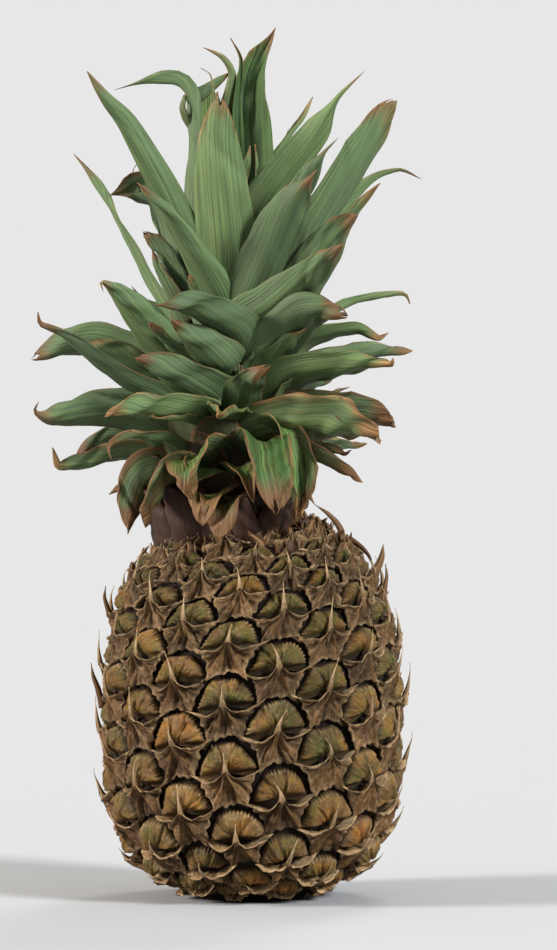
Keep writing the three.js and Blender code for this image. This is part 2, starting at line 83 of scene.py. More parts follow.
# ---- the crown's leaves, near those of the CAD part and in its order ----
# Each leaf that is told apart: azimuth and height of its root, width, roll, further roll at the tip,
# fullness, the settings of Leaves.add that are its own, and the places on its middle line.
LEAVES = (
    # the heart
    (80, 226, 30.4, 15, 10, 2.8, dict(tail=0.9, tip_curl=0.6),
     (0, 11, 272), (-0.2, 13, 305), (0.7, 15, 332), (9.6, 16, 354)),
    (110, 228, 8, 0, 20, 2, {}, (-6, 11, 284), (-6, 12, 321), (-4.5, 13, 340), (-9, 14, 349.5)),
    (262, 220, 26.25, -8, 10, 5, dict(ragged=0.04, tip_curl=0.5),
     (-10, -18, 261), (-12.5, -24, 287), (-14, -27, 304), (-13, -30, 322)),
    (160, 222, 16, -25, -40, 2.6, dict(crumple=2.4, folds=(1.2, 0), tail=0.84),
     (-26, 7, 282), (-24, 9, 307), (-25.8, 10, 323.5), (-30.3, 10.5, 331),
     (-41.5, 11, 331.8), (-56.4, 12, 328)),
    # upper left
    (200, 220, 14.5, -15, -85, 3, dict(tip_curl=0.6),
     (-22, -12, 256), (-34, -18, 283.5), (-48.4, -24, 310), (-57.6, -28, 321), (-65.4, -30, 331.6)),
    (225, 212, 22, -30, 10, 1.4, dict(folds=(0, 1.4)),
     (-12, -21, 240), (-23, -31, 259), (-34, -40, 275), (-45, -48, 286)),
    (152, 210, 41.85, -70, 20, 3.2, dict(crumple=1.2, folds=(0.3, -0.4), tail=0.87, tip_curl=0.05),
     (-29, 13, 243), (-34, 17, 266), (-40, 20, 284.6), (-49, 22, 289.3), (-58.6, 24, 285.8)),
    (160, 206, 19.8, -25, 0, 1.25, {}, (-37, 15, 240), (-51.2, 24, 266), (-63, 29, 289), (-74, 34, 303.4)),
    # upper right
    (45, 224, 13, 30, 0, 2.4, {}, (4, 17, 284), (10, 21, 302), (20, 24, 316), (25, 26, 326.5)),
    (338, 222, 21, 58, 15, 2.2, dict(tail=0.76),
     (0, -12, 271), (12.5, -17, 292), (25.5, -20, 308), (34.7, -24, 322), (45, -26, 332)),
    (322, 218, 18, 40, 0, 2.5, dict(tail=0.82),
     (7.5, -23, 268), (20.2, -30, 285), (28.4, -35, 298), (34.3, -38, 304.3)),
    (300, 212, 28, 22, 10, 3.2, dict(tail=0.85),
     (-1, -22, 236), (7, -32, 256), (16, -43, 277), (26, -52, 291)),
    (8, 214, 20.6, 52, 5, 14, dict(ragged=0.03, tip_curl=0.55),
     (15, 6, 244), (25, 10, 267), (37, 12, 287), (50, 16, 308.3), (59, 18, 325)),
    (24, 212, 24.2, 28, 0, 2.2, dict(tail=0.8),
     (22, 20, 254), (38, 29, 280), (51, 34, 293), (61, 37, 297), (70, 40, 293.5)),
    (350, 208, 18.6, 36, 0, 1.9, {}, (19, -9, 245), (33.5, -12, 266), (42.8, -14, 277.6), (51.6, -16, 288)),
    (325, 204, 19.5, 45, 0, 8, dict(ragged=0.05, crumple=1.4),
     (14.5, -23, 233), (21.2, -29, 248), (31.5, -35, 263), (42.7, -40, 274.7)),
    (305, 206, 25, 32, 10, 2.4, {}, (-3, -27, 229), (8, -36, 237), (20, -46, 247), (36, -62, 261)),
    # middle left
    (202, 196, 23, -55, 10, 2.6, dict(folds=(0, 1.5), tail=0.85),
     (-25, -17, 213), (-37.5, -25, 225.5), (-49, -33, 239), (-59, -39, 247.3), (-58.5, -40, 243.5)),
    (228, 200, 23, -40, 0, 2.4, dict(tail=0.85),
     (-3, -33, 225), (-10, -41, 231), (-21, -51, 237), (-38, -66, 237)),
    (207, 184, 13, -35, 0, 2.2, {},
     (-34, -22, 201), (-47, -29, 207), (-59, -35, 215), (-74, -43, 226), (-83, -46, 230), (-84, -48, 235)),
    (164, 190, 19, -45, -10, 12, dict(ragged=0.05, folds=(0, 1.1)),
     (-38, 14, 215), (-62, 20, 224.6), (-80, 23, 222), (-91, 26, 218.4)),
    (190, 186, 21, -58, 0, 3, {}, (-31, -9, 202), (-45, -13, 212), (-56, -15, 220), (-68, -18, 223)),
    # middle right
    (24, 200, 13, 40, 0, 1.8, {},
     (15, 18, 228), (36, 26, 239), (44, 29, 242.7), (62, 34, 245.5), (65, 36, 241.7)),
    (318, 194, 26, 36, 0, 6, dict(ragged=0.05, folds=(1.6, 0)),
     (1, -25, 214), (11, -34, 225), (22, -43, 234), (38, -52, 233)),
    (352, 194, 14, 42, 0, 2.4, {},
     (19, -9, 222), (31, -12, 227.5), (42, -13, 229), (51, -15, 225.5), (55, -16, 228)),
    (16, 188, 23, 46, 0, 2.2, dict(folds=(0.9, 0)),
     (15, 15, 209), (34, 21, 215.5), (47, 24, 220), (66, 30, 222)),
    (334, 184, 24, 42, 0, 2.4, {},
     (13, -24, 208), (35, -35, 213), (46, -40, 214), (55, -45, 214), (56, -46, 217)),
    (282, 182, 18, 10, 0, 4, dict(ragged=0.08), (-3, -44, 204), (2, -61, 209), (8, -64, 214)),
    # lower left
    (199, 178, 31, -70, 0, 1.7, dict(folds=(0, 1.3), tail=0.85),
     (-31, -15, 191), (-47, -20, 197.5), (-64, -26, 196.5), (-80, -31, 193.8),
     (-86, -33, 196), (-84.5, -34, 200)),
    (220, 182, 19, -35, 0, 4, dict(folds=(1.8, 0)),
     (-20, -29, 194), (-39, -45, 196.4), (-48.5, -53, 196.8), (-57, -60, 193.6)),
    (184, 170, 16, -38, 0, 2.6, {},
     (-35, -2, 177.5), (-53, -3, 179), (-67, -3, 175.5), (-78.5, -4, 174), (-80.7, -4, 182)),
    (158, 174, 18, -42, 0, 2.6, {}, (-43, 18, 183), (-57, 22, 186), (-66, 24, 183), (-73, 26, 177)),
    (212, 172, 10, -22, 0, 3, {}, (-34, -30, 185), (-50, -41, 186), (-56, -45, 182), (-55, -48, 177)),
    # lower right
    (24, 180, 9, 30, 0, 2.4, {}, (19, 19, 201), (32, 24, 204), (40, 26, 207)),
    (345, 176, 27, 42, 0, 8, dict(ragged=0.05, folds=(0, 1.0), tip_curl=0.8),
     (7, -14, 193), (27, -20, 193), (43, -25, 193.3), (57.5, -30, 190)),
    (322, 170, 29, 46, 0, 8, dict(ragged=0.06, crumple=1.5, tip_curl=0.8),
     (1, -26, 185), (19, -38, 190), (37.3, -49, 189), (50.3, -58, 182.8)),
    (350, 166, 13, 32, 0, 2.4, {}, (15, -9, 185), (29, -12, 182), (37, -13, 179), (40, -14, 181)),
    (318, 164, 20, 42, 0, 2.6, {}, (15, -33, 180), (31, -42, 174.5), (43.7, -50, 168)),
    # the skirt
    (190, 164, 22, -75, 0, 3, {},
     (-38.3, -12, 172.5), (-44.5, -14, 169), (-47.8, -14, 161), (-49.5, -14, 148.8)),
    (212, 162, 24, -42, 0, 3, {}, (-31, -27, 171), (-36, -36, 164), (-42, -36, 150)),
    (180, 162, 11, -50, 0, 2, {}, (-41, 0, 169), (-51, 0, 167), (-58, 0, 163)),
    (184, 158, 11, -65, 0, 2, {}, (-41, -8, 163), (-47, -9, 156), (-50, -9, 147)),
    (236, 168, 31.9, -25, 0, 3, {}, (-21, -37, 178), (-23, -52, 173), (-23, -55, 161)),
    (240, 160, 20.8, 0, 0, 6, dict(tip_curl=0.3), (-15, -40, 163), (-17, -57, 159.5), (-19, -59, 151)),
    (252, 158, 22.1, 0, 0, 6, dict(tip_curl=0.3), (-11, -44, 160), (-11, -59, 157), (-13, -62, 146)),
    (268, 166, 17, 0, 0, 3, {}, (-5, -47, 174), (-1, -61, 169), (1, -64, 160)),
    (290, 172, 23, 12, 0, 7, dict(ragged=0.08, crumple=1.3, tip_curl=0.6),
     (4, -47, 184), (7, -65, 173), (10, -67, 155)),
    (325, 168, 18, 42, 0, 4, dict(ragged=0.1), (17, -33, 185), (21.8, -45, 173), (19, -46, 156)),
)

# Tiers of leaves round the back and the front: height of the roots, number, length, rise of the root and
# of the tip (degrees), width and fullness. Four at the back are shorter than the CAD part's.
BACK_TIERS = (
    (165, 5, 26, 0, -70, 18, 3.0),
    (171, 4, 40, 15, -42, 19, 3.0),
    (178, 5, 70, 25, -12, 19, 2.6),
    (188, 4, 78, 38, 12, 20, 2.4),
    (200, 4, 73, 52, 32, 19, 2.4),
    (211, 4, 110, 66, 50, 18, 2.4),
    (224, 3, 86, 80, 70, 17, 2.2),
)
BACK_ARC = (42, 138)
FRONT_TIERS = (
    (173, 2, 40, 25, -40, 22, 3.0),
    (187, 3, 48, 38, -10, 22, 3.0),
    (201, 2, 54, 55, 25, 22, 2.6),
)
FRONT_ARC = (215, 325)
TIER_STEPS = 4
TIER_LENGTHS = (0.82, 1.15)
TIER_SHIFT = 0.5
TIER_SWEEP = 16
TIER_ROLL = 50
TIER_TWIST = 20
SEED = 11


# ---- small helpers ----
def mix(a, b, t):
    return a + (b - a) * t


def ease(x, start=0, end=1):
    """0 up to the start and 1 from the end on, with a gentle change between them."""
    t = np.clip((x - start) / (end - start), 0, 1)
    return t * t * (3 - 2 * t)


def hump(x, middle, width):
    return np.exp(-(((x - middle) / width) ** 2))


def unit(vectors):
    return vectors / np.linalg.norm(vectors, axis=-1, keepdims=True)


def ripple(x, pitch, octaves, shape=()):
    """Gentle seeded noise along x, mostly within -1 and 1, different for every item of this shape."""
    total = 0
    for n in range(octaves):
        phase = rng.uniform(0, 2 * np.pi, shape)
        rate = pitch * 1.9**n * rng.uniform(0.8, 1.25, shape)
        total = total + np.sin(rate * x + phase) / 1.5**n
    return total / 1.8


def creased(x, pitch, octaves, shape=()):
    """The same with sharp crests, like folds in paper."""
    return 1 - 2 * np.abs(ripple(x, pitch, octaves, shape))


def draw(place):
    """The CAD part's repeatable draw in 0..1."""
    v = math.sin((place + SEED) * 127.1) * 43758.5453
    return v - math.floor(v)


def grid_quads(rows, cols, wrap=False):
    """Quads of a grid of points counted row by row, facing the side of rows cross columns."""
    i = np.arange(rows * cols).reshape(rows, cols)
    if wrap:
        i = np.hstack([i, i[:, :1]])
    return np.stack([i[:-1, :-1], i[1:, :-1], i[1:, 1:], i[:-1, 1:]], -1).reshape(-1, 4)


def grid_rim(rows, cols):
    """The grid's outer points, in the order in which its quads go round."""
    i = np.arange(rows * cols).reshape(rows, cols)
    return np.concatenate([i[:-1, 0], i[-1, :-1], i[:0:-1, -1], i[0, :0:-1]])


def repeated(faces, step, count):
    """The faces of one item, for a row of items that each have this many points."""
    shifts = np.arange(count) * step
    return (faces[None] + shifts[:, None, None]).reshape(-1, faces.shape[1])


BODY_SIDES = 72
BODY_TURN = np.linspace(0, 2 * np.pi, BODY_SIDES, endpoint=False)


def turned(start, rings, end):
    """A closed body turned about the axis, from one height on it to another through rings of (radius,
    height). A ring's radius is a number, or one for each side."""
    points = [[0, 0, start]]
    for radius, z in rings:
        ring = [radius * np.cos(BODY_TURN), radius * np.sin(BODY_TURN), 0 * BODY_TURN + z]
        points += np.stack(ring, -1).tolist()
    points.append([0, 0, end])
    side = np.arange(BODY_SIDES)
    after = np.roll(side, -1)
    last = 1 + (len(rings) - 1) * BODY_SIDES
    bottom = np.stack([0 * side, 1 + after, 1 + side], -1)
    top = np.stack([last + side, last + after, 0 * side + last + BODY_SIDES], -1)
    sides = grid_quads(len(rings), BODY_SIDES, wrap=True)[:, ::-1] + 1
    return np.array(points), [sides, bottom, top]


def even_looks(points, **values):
    """Looks that are the same at every point, with the points themselves as the grain."""
    return {"grain": points} | {label: np.full(len(points), value) for label, value in values.items()}


def add_object(name, data):
    item = bpy.data.objects.new(name, data)
    bpy.context.scene.collection.objects.link(item)
    return item


def add_piece(name, points, faces, material, looks, node=None):
    """A smooth mesh of points in mm that rides on the one body. looks holds a number or a vector for
    each point, which the material reads by name."""
    mesh = bpy.data.meshes.new(name)
    mesh.from_pydata((points * MM).tolist(), [], [face for block in faces for face in block.tolist()])
    for label, values in looks.items():
        vector = values.ndim > 1
        attribute = mesh.attributes.new(label, "FLOAT_VECTOR" if vector else "FLOAT", "POINT")
        attribute.data.foreach_set("vector" if vector else "value", values.astype(np.float32).ravel())
    mesh.shade_smooth()
    mesh.materials.append(material)
    piece = add_object(name, mesh)
    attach(piece, "root")
    if node:
        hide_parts(node)


# ---- the fruit's skin ----
def outline():
    """Arc length, radius and height of the outline from base to top."""
    turn = np.linspace(-np.pi / 2, np.pi / 2, 401)
    power = np.where(turn < 0, 2 / BASE_ROUNDNESS, 2 / SHOULDER_ROUNDNESS)
    height = np.where(turn < 0, GIRTH_Z, SHOULDER_HEIGHT)
    radius = FRUIT_RADIUS * np.clip(np.cos(turn), 0, None) ** power
    z = GIRTH_Z + np.sign(turn) * height * np.abs(np.sin(turn)) ** power
    length = np.concatenate([[0], np.cumsum(np.hypot(np.diff(radius), np.diff(z)))])
    return length, radius, z


LENGTHS, RADII, HEIGHTS = outline()
OUTWARD = np.gradient(HEIGHTS, LENGTHS)
UPWARD = -np.gradient(RADII, LENGTHS)
GIRTH = np.argmax(RADII)
REST_LENGTH = np.interp(REST_RADIUS, RADII[:GIRTH], LENGTHS[:GIRTH])
SEAT_LENGTH = np.interp(-CROWN_SEAT_RADIUS, -RADII[GIRTH:], LENGTHS[GIRTH:])


def radius_at(length):
    return np.interp(length, LENGTHS, RADII)


def skin(angle, length, lift):
    """Points at an angle (radians, 0 towards the viewer), a length up the outline and a height above it."""
    radius = radius_at(length) + np.interp(length, LENGTHS, OUTWARD) * lift
    z = np.interp(length, LENGTHS, HEIGHTS) + np.interp(length, LENGTHS, UPWARD) * lift
    return np.stack([radius * np.sin(angle), -radius * np.cos(angle), z], -1)


def eye_places():
    """Angle and arc length of every eye, from the base up."""
    places = []
    angle, length = FIRST_EYE_ANGLE, FIRST_EYE_LENGTH
    for k in range(EYE_COUNT):
        places.append((math.radians(angle), length))
        angle += DIVERGENCE + DIVERGENCE_DRIFT * k
        girth = (radius_at(length) / FRUIT_RADIUS) ** NARROWING
        length += mix(PITCH_LOW, PITCH_HIGH, length / LENGTHS[-1]) * girth
    return np.array(places)


EYE_RAISE = (-0.3, 0.9)
EYE_LEAN = 0.05  # slope, to any side
FLAT_BASE = (24, 30)  # eyes are raised from this length up the skin on, by at most 1 mm for each 30


class Eyes:
    """Every shown eye: its place, the corners of its cell as offsets across and up the skin, and what sets
    it apart, as one number for each eye beside its grid of places."""

    def __init__(self):
        places = eye_places()
        shown = np.arange(BOUNDING_EYES, EYE_COUNT - BOUNDING_EYES)
        self.count = len(shown)
        each = (self.count, 1, 1)
        self.angle, self.length = places[shown].T[..., None]
        self.girth = radius_at(self.length)
        met = places[shown[:, None, None] + np.array(CELL_CORNERS)]
        turns = met[..., 0] - self.angle[:, None]
        turns -= 2 * np.pi * np.round(turns / (2 * np.pi))
        across = turns.mean(-1) * self.girth
        up = met[..., 1].mean(-1) - self.length
        self.corners = np.stack([across, up], -1)
        self.size = np.linalg.norm(self.corners, axis=-1).mean(-1).reshape(each)
        self.tone = rng.uniform(0, 1, each)
        length = self.length.reshape(each)
        self.raised = np.minimum(rng.uniform(*EYE_RAISE, each), (length - FLAT_BASE[0]) / FLAT_BASE[1])
        self.leans = rng.uniform(-EYE_LEAN, EYE_LEAN, (self.count, 2)).T.reshape(2, *each)
        low, high = SPINE_FREE
        self.reach = np.clip((length - low) / SPINE_FADE[0], SPINE_STUB[0], 1)
        self.reach *= np.clip((high - length) / SPINE_FADE[1], SPINE_STUB[1], 1)

    def edge(self, places):
        """Points on each cell's edge, at places counted in corners."""
        i = np.floor(places).astype(int)
        t = (places - i)[:, None]
        return mix(self.corners[:, i % AROUND], self.corners[:, (i + 1) % AROUND], t)

    def spots(self, across, up, lift):
        """Points on the fruit at offsets from each eye."""
        return skin(self.angle + across / self.girth, self.length + up, lift)


eyes = Eyes()
EACH = (eyes.count, 1, 1)


def vary(low, high):
    return rng.uniform(low, high, EACH)


def tilted(lift, across, up):
    """Heights with each eye raised and leaned by its own small amount."""
    return lift + eyes.raised + eyes.leans[0] * across + eyes.leans[1] * up


def closed_patches(grid, looks, thick, sunk):
    """Each eye's grid of places (across, up, lift) as a solid, closed by an edge this thick and by a point
    sunk under its middle. Returns points and looks by eye, and the quads and triangles of one eye."""
    rows, cols = grid[0].shape[1:]
    rim = grid_rim(rows, cols)
    source = np.concatenate([np.arange(rows * cols), rim, [0]])
    places = [values.reshape(eyes.count, -1)[:, source] for values in grid]
    places[2][:, rows * cols :] -= thick
    for values, value in zip(places, sunk):
        values[:, -1] = value
    below = rows * cols + np.arange(len(rim))
    after, below_after = np.roll(rim, -1), np.roll(below, -1)
    sides = np.stack([after, rim, below, below_after], -1)
    floor = np.stack([below_after, below, np.full(len(rim), len(source) - 1)], -1)
    spread = {
        label: values.reshape(eyes.count, rows * cols, -1)[:, source] for label, values in looks.items()
    }
    return eyes.spots(*places), spread, [np.concatenate([grid_quads(rows, cols), sides]), floor]


def add_eye_piece(name, made, which, material):
    """One piece of the chosen eyes' solids."""
    points, looks, faces = made
    count, total = points[which].shape[:2]
    flat = {label: np.squeeze(values[which].reshape(count * total, -1)) for label, values in looks.items()}
    blocks = [repeated(block, total, count) for block in faces]
    add_piece(name, points[which].reshape(-1, 3), blocks, material, flat)


def grain(bearing, rho, shape):
    """Coordinates for fine streaks: round and out from the eye's middle, in mm, and a number for the eye."""
    number = np.arange(eyes.count).reshape(EACH) * 3.7
    parts = (bearing * 12, rho * 12, number)
    return np.stack([np.broadcast_to(part, shape) for part in parts], -1)


def eye_looks(lift, margin, papery, streaks):
    """What the fruit's material reads: the eye's own tone, how papery it is, the height out of the
    grooves, which sets the painted shade down in them, the nearness to a dry edge, which on the sepals'
    beads sets a painted highlight, and the streaks."""
    shape = lift.shape
    return {
        "tone": np.broadcast_to(eyes.tone, shape),
        "papery": np.full(shape, papery),
        "crest": np.clip(1 + lift / GROOVE_DEPTH, 0, 1),
        "margin": np.broadcast_to(margin, shape),
        "grain": streaks,
    }


# ---- sepals and bracts ----
# Each is a grid whose rows run round the eye, at shares rho of the way from its middle to its cell's edge.
PATCH_DEPTH = GROOVE_DEPTH + 3  # below the skin, where a patch's closing point lies
DOME_REACH = 0.95  # of a cell's mean size, past which a dome doesn't follow its corners
DOME_INSET = 0.985
DOME_TOP = -0.4
DOME_SLOPE = 1.6
DOME_FALL = 4.4
DOME_DIMPLE = 1.3
DOME_LUMPS = 0.5
DOME_THICK = 0.3
POCKET_DEPTH = -4.2
POCKET_WIDTH = 3.0
BEAD_PITCH = 1.75
BEAD_HEIGHT = 0.9
BEAD_SHARE = 0.075  # of the radius, that beads stand out by
RIM_RHO = 0.91
WRINKLE = 0.5
SEPAL_CREASES = (62, 118)  # degrees round the eye, give or take the swing
CREASE_SWING = 18
CREASE_DEPTH = (0.6, 1.5)
DOME_ROWS = (0.04, 0.14, 0.26, 0.39, 0.52, 0.64, 0.74, 0.82, 0.88, 0.93, 0.97, 1.0)
DOME_COLS = 84
DOME_TUCK = 0.25  # corners that a dome runs on under the bract's lip


def sepals():
    """The rounded upper half of each eye: three sepals that meet over the middle, with a beaded rim."""
    edge = eyes.edge(np.linspace(RIGHT - DOME_TUCK, LEFT + AROUND + DOME_TUCK, DOME_COLS))
    size = np.linalg.norm(edge, axis=-1, keepdims=True)
    edge = edge * np.minimum(1, DOME_REACH * eyes.size / size) * DOME_INSET
    rho = np.array(DOME_ROWS)[None, :, None]
    bearing = np.arctan2(edge[:, None, :, 1], edge[:, None, :, 0])
    bearing = np.where(bearing < -np.pi / 2, bearing + 2 * np.pi, bearing)

    turns = bearing * eyes.size / BEAD_PITCH + 0.35 * ripple(bearing, 5, 2, EACH)
    bead = np.abs(np.sin(np.pi * turns + vary(0, 6)))
    strength = np.clip(0.75 + 0.5 * ripple(bearing, 1.6, 2, EACH), 0.2, 1.1)
    rim = hump(rho, RIM_RHO, 0.07) * strength
    spread = rho * (1 + BEAD_SHARE * (bead - 0.5) * hump(rho, 0.96, 0.09) * strength)
    spread = spread * (1 + 0.06 * ripple(bearing, 3, 2, EACH) * ease(rho)) * vary(0.93, 1.02)
    across, up = spread * edge[:, None, :, 0], spread * edge[:, None, :, 1]

    wing = unit(eyes.corners[:, RIGHT] - eyes.corners[:, LEFT])
    above = up * wing[:, 0, None, None] - across * wing[:, 1, None, None]
    dome = DOME_TOP - DOME_SLOPE * rho**2 - DOME_FALL * rho ** vary(6, 10) + 0 * bearing
    dome -= DOME_DIMPLE * hump(rho, 0, 0.24)
    for middle in SEPAL_CREASES:
        crease = np.radians(middle + vary(-CREASE_SWING, CREASE_SWING))
        depth = vary(*CREASE_DEPTH) * (1 - ease(rho, 0.75, 1))
        dome -= depth * hump(bearing, crease + 0.1 * ripple(rho, 6, 1, EACH), 0.09)
    folds = creased(bearing + 0.25 * ripple(rho * 5, 1, 1, EACH), 8, 2, EACH)
    dome += WRINKLE * folds * ease(rho, 0, 0.35) * (1 - ease(rho, 0.88, 1))
    dome += DOME_LUMPS * ripple(rho * 3 + bearing * 1.3, 1.9, 3, EACH) * ease(rho, 0, 0.2)
    dome += BEAD_HEIGHT * bead * rim
    pocket = POCKET_WIDTH * (0.55 + hump(across, vary(-3, 3), 5.5))
    open_share = ease((above + 0.3) / pocket)
    lift = tilted(mix(POCKET_DEPTH - 0.5 * rho, dome, open_share), across, up)
    lift = mix(lift, -GROOVE_DEPTH - 1.5, ease(rho, 0.97, 1))
    # the margin here paints a highlight: the tips of the rim's beads turn pale
    looks = eye_looks(lift, rim * bead * open_share, 0, grain(bearing, rho, lift.shape))
    return closed_patches((across, up, lift), looks, DOME_THICK, (0, 3, -PATCH_DEPTH))


LIP_SAG = 2.3
LIP_RISE = 1.0
KEEL_FALL = 3.2
WING_FALL = 2.2
TENT = 1.3  # that the bract's middle is drawn up and out into its spine
HOLLOW = 2.3
VARIED = (0.6, 1.3)  # shares of the sag and the hollow that an eye may have
TAIL_RIDGE = 0.7
TAIL_CORNERS = (2, 3)
TAIL_REACH = (1.05, 1.18)  # of the way to a corner; between corners the edge reaches less far
EDGE_REACH = 0.91
BRACT_FOLD = 0.75
BRACT_PLEAT = 0.35
BRACT_LUMP = 0.45
SLIT_DEPTH = 2.6
BRACT_THICK = 0.6
BRACT_ROWS = (0.03, 0.1, 0.18, 0.27, 0.37, 0.47, 0.57, 0.67, 0.77, 0.86, 0.94, 1.0)
BRACT_COLS = 52


def bracts():
    """The lower half of each eye: a papery bract stretched from its spine to two wings and two tails."""
    place = np.linspace(LEFT, RIGHT, BRACT_COLS)
    edge = eyes.edge(place)[:, None]
    rho = np.array(BRACT_ROWS)[None, :, None]
    place = place[None, None, :]
    from_lip = np.minimum(place - LEFT, RIGHT - place)
    lip = 1 - ease(from_lip, 0, 0.75)
    corner = np.abs((place % 1) - 0.5) * 2
    spread = rho * mix(1, mix(EDGE_REACH, vary(*TAIL_REACH), corner**3), rho)
    ragged = 1 + 0.06 * ripple(place, 9, 3, EACH) * ease(rho, 0.5, 1)
    ragged = ragged + 0.045 * ripple(place, 21, 1, EACH) * ease(rho, 0.75, 1)
    across, up = spread * ragged * edge[..., 0], spread * ragged * edge[..., 1]
    tent = TENT * hump(rho, 0, 0.2)
    side = np.where(place - LEFT < RIGHT - place, -1, 1)
    sag = LIP_SAG * vary(*VARIED) * np.sin(np.pi * rho**0.85)
    up = up + tent - lip * (sag - LIP_RISE * rho**4) + lip * 0.5 * ripple(rho * 6 + side, 2, 3, EACH)

    keel = -0.2 - KEEL_FALL * rho**1.5
    wings = -0.3 - WING_FALL * rho**2.2 + 0.35 * ripple(rho * 4 + side * 2, 1.7, 2, EACH)
    hollow = HOLLOW * vary(*VARIED) * np.sin(np.pi * rho**0.8)
    lift = mix(keel, wings, lip) - hollow * (1 - corner**1.5) * (1 - 0.75 * lip) + tent
    for tail in TAIL_CORNERS:
        lift += TAIL_RIDGE * hump(place, tail, 0.07) * (1 - 0.6 * rho)
    lift += LIP_RISE * np.sin(np.pi * rho) * hump(from_lip, 0, 0.14)
    folds = creased(place + 0.15 * ripple(rho * 4, 1, 1, EACH), 7, 2, EACH)
    lift += BRACT_FOLD * folds * ease(rho, 0, 0.3)
    lift += BRACT_PLEAT * ripple(place, 19, 2, EACH) * ease(rho, 0, 0.25)
    lift += BRACT_LUMP * ripple(rho * 7 + place * 1.5, 1.4, 3, EACH) * ease(rho, 0, 0.3)
    slits = np.clip(ripple(place, 15, 2, EACH) - 0.2, 0, 1) * hump(rho, 0.3, 0.16) * (1 - lip)
    lift -= SLIT_DEPTH * slits * vary(0, 1.3)
    lift = tilted(lift, across, up)

    dry = hump(from_lip, 0, 0.16) + hump(rho, 1.03, 0.12)
    looks = eye_looks(lift, dry, 0.65, grain(place * 1.05, rho, lift.shape))
    return closed_patches((across, up, lift), looks, BRACT_THICK, (0, -5, -PATCH_DEPTH))


SPINE_ROOT = -5.0  # below the eye's middle, where the spine's keel starts on the bract
SPINE_KEEL = 0.27  # share of the spine that lies on the bract
SPINE_WIDTH = 3.1
SPINE_TIP = 0.3
SPINE_BEND = 3.6
SPINE_ROWS = 16
SPINE_SIDES = 8


def spines():
    """A dagger on each eye that rises from the bract's keel and stands off the skin, closed at its ends."""
    t = np.linspace(0, 1, SPINE_ROWS)[None, :, None]
    turn = np.linspace(0, 2 * np.pi, SPINE_SIDES, endpoint=False)[None, None, :]
    reach = eyes.reach
    climb = SPINE_LENGTH * reach * vary(0.6, 1.4)
    standoff = SPINE_STANDOFF * reach * vary(0.15, 1.15)
    held = np.clip(t / SPINE_KEEL, 0, 1)
    free = np.clip((t - SPINE_KEEL) / (1 - SPINE_KEEL), 0, 1)
    width = mix(0.7, SPINE_WIDTH, held**1.3) * (1 - free) ** 1.5
    width = np.maximum(width * mix(0.55, 1, reach), SPINE_TIP)
    bend = vary(-SPINE_BEND, SPINE_BEND) * free**2 * reach
    up = SPINE_ROOT * mix(0.4, 1, reach) * (1 - held) + climb * free
    lift = mix(-3.0, 0.2, held) + standoff * (1 - (1 - free) ** 1.7)
    lift = lift + 0.4 * ripple(free * 3, 1.5, 2, EACH) * free
    keel = np.where(np.sin(turn) > 0, 0.5, 0.3)
    across = bend + width / 2 * np.cos(turn)
    lift = lift + width * keel * np.sin(turn) ** 3
    places = np.broadcast_arrays(across, up, lift)
    quads = grid_quads(SPINE_ROWS, SPINE_SIDES, wrap=True)
    fan = np.arange(1, SPINE_SIDES - 1)
    root = np.stack([0 * fan, fan, fan + 1], -1)
    tip = (SPINE_ROWS - 1) * SPINE_SIDES + root[:, ::-1]
    looks = eye_looks(0 * places[2], 0.5 + 0.9 * free, 1, grain(turn / 3, t, places[0].shape))
    points = eyes.spots(*[values.reshape(eyes.count, -1) for values in places])
    spread = {label: values.reshape(*points.shape[:2], -1) for label, values in looks.items()}
    return points, spread, [quads, np.concatenate([root, tip])]


BODY_ROWS = 50


def add_fruit(material):
    """The fruit: a closed body down in the grooves, with every eye's solids standing out of it."""
    along = np.linspace(0, 1, BODY_ROWS)
    side = skin(0, mix(REST_LENGTH, SEAT_LENGTH, along), -GROOVE_DEPTH * np.sin(np.pi * along) ** 0.2)
    pocket, roof = STEM_POCKET
    rings = [(pocket, roof), (pocket, 0), (REST_RADIUS, 0)]
    rings += [(-y, z) for _, y, z in side[1:-1]]
    rings += [(CROWN_SEAT_RADIUS, CROWN_SEAT_Z)]
    points, faces = turned(roof, rings, CROWN_SEAT_Z)
    # crest 0 paints the whole body in the near-black painted shade of the grooves
    looks = even_looks(points, tone=0.5, papery=0, crest=0, margin=0)
    add_piece("fruit_body", points, faces, material, looks, node="fruit")
    low, high = slice(0, eyes.count // 2), slice(eyes.count // 2, None)
    for kind, made in (("sepals", sepals()), ("bracts", bracts())):
        add_eye_piece(f"eye_{kind}_low", made, low, material)
        add_eye_piece(f"eye_{kind}_high", made, high, material)
    add_eye_piece("eye_spines", spines(), slice(None), material)


# ---- the crown ----
BLADE_COLS = 17
BLADE_ROWS = 46
TIER_ROWS = 34
LINE_STEPS = 240
CHANNEL = 0.5  # radians that each half of a blade leans up from its keel
TIP_CURL = 1.15  # and near the tip
TIP_START = 0.72
KEEL = 0.35  # share of each half in which it turns up
BEND_EASE = 0.7  # how softly a leaf bends at the places that it passes through
BLADE_THICK = (0.75, 0.3)  # along the middle and at the edges
TIP_WIDTH = 0.6
TAIL_WIDTH = 0.35  # of the blade's, past the place where it shrivels to a tail
HOOK_START = 0.8
PLEAT = 0.16  # radians
PLEAT_PITCH = (12, 17)  # radians across half a blade
MARGIN_DROOP = -0.25
ROOT_STAIN_AND_SHADE = 0.22  # share of a leaf from its root that is darkened like a sheath, partly brown staining and partly painted shade


def core_radius(z):
    heights, radii = zip(*CROWN_CORE)
    return np.interp(z, heights, radii)


def about_core(azimuth, radius, z):
    angle = math.radians(azimuth)
    return (CROWN_LEAN + radius * math.cos(angle), radius * math.sin(angle), z)


def rooted(azimuth, z, places):
    """A leaf's places with its root before them, inside the core."""
    return [about_core(azimuth, core_radius(z) * ROOT_DEPTH, z), *places]


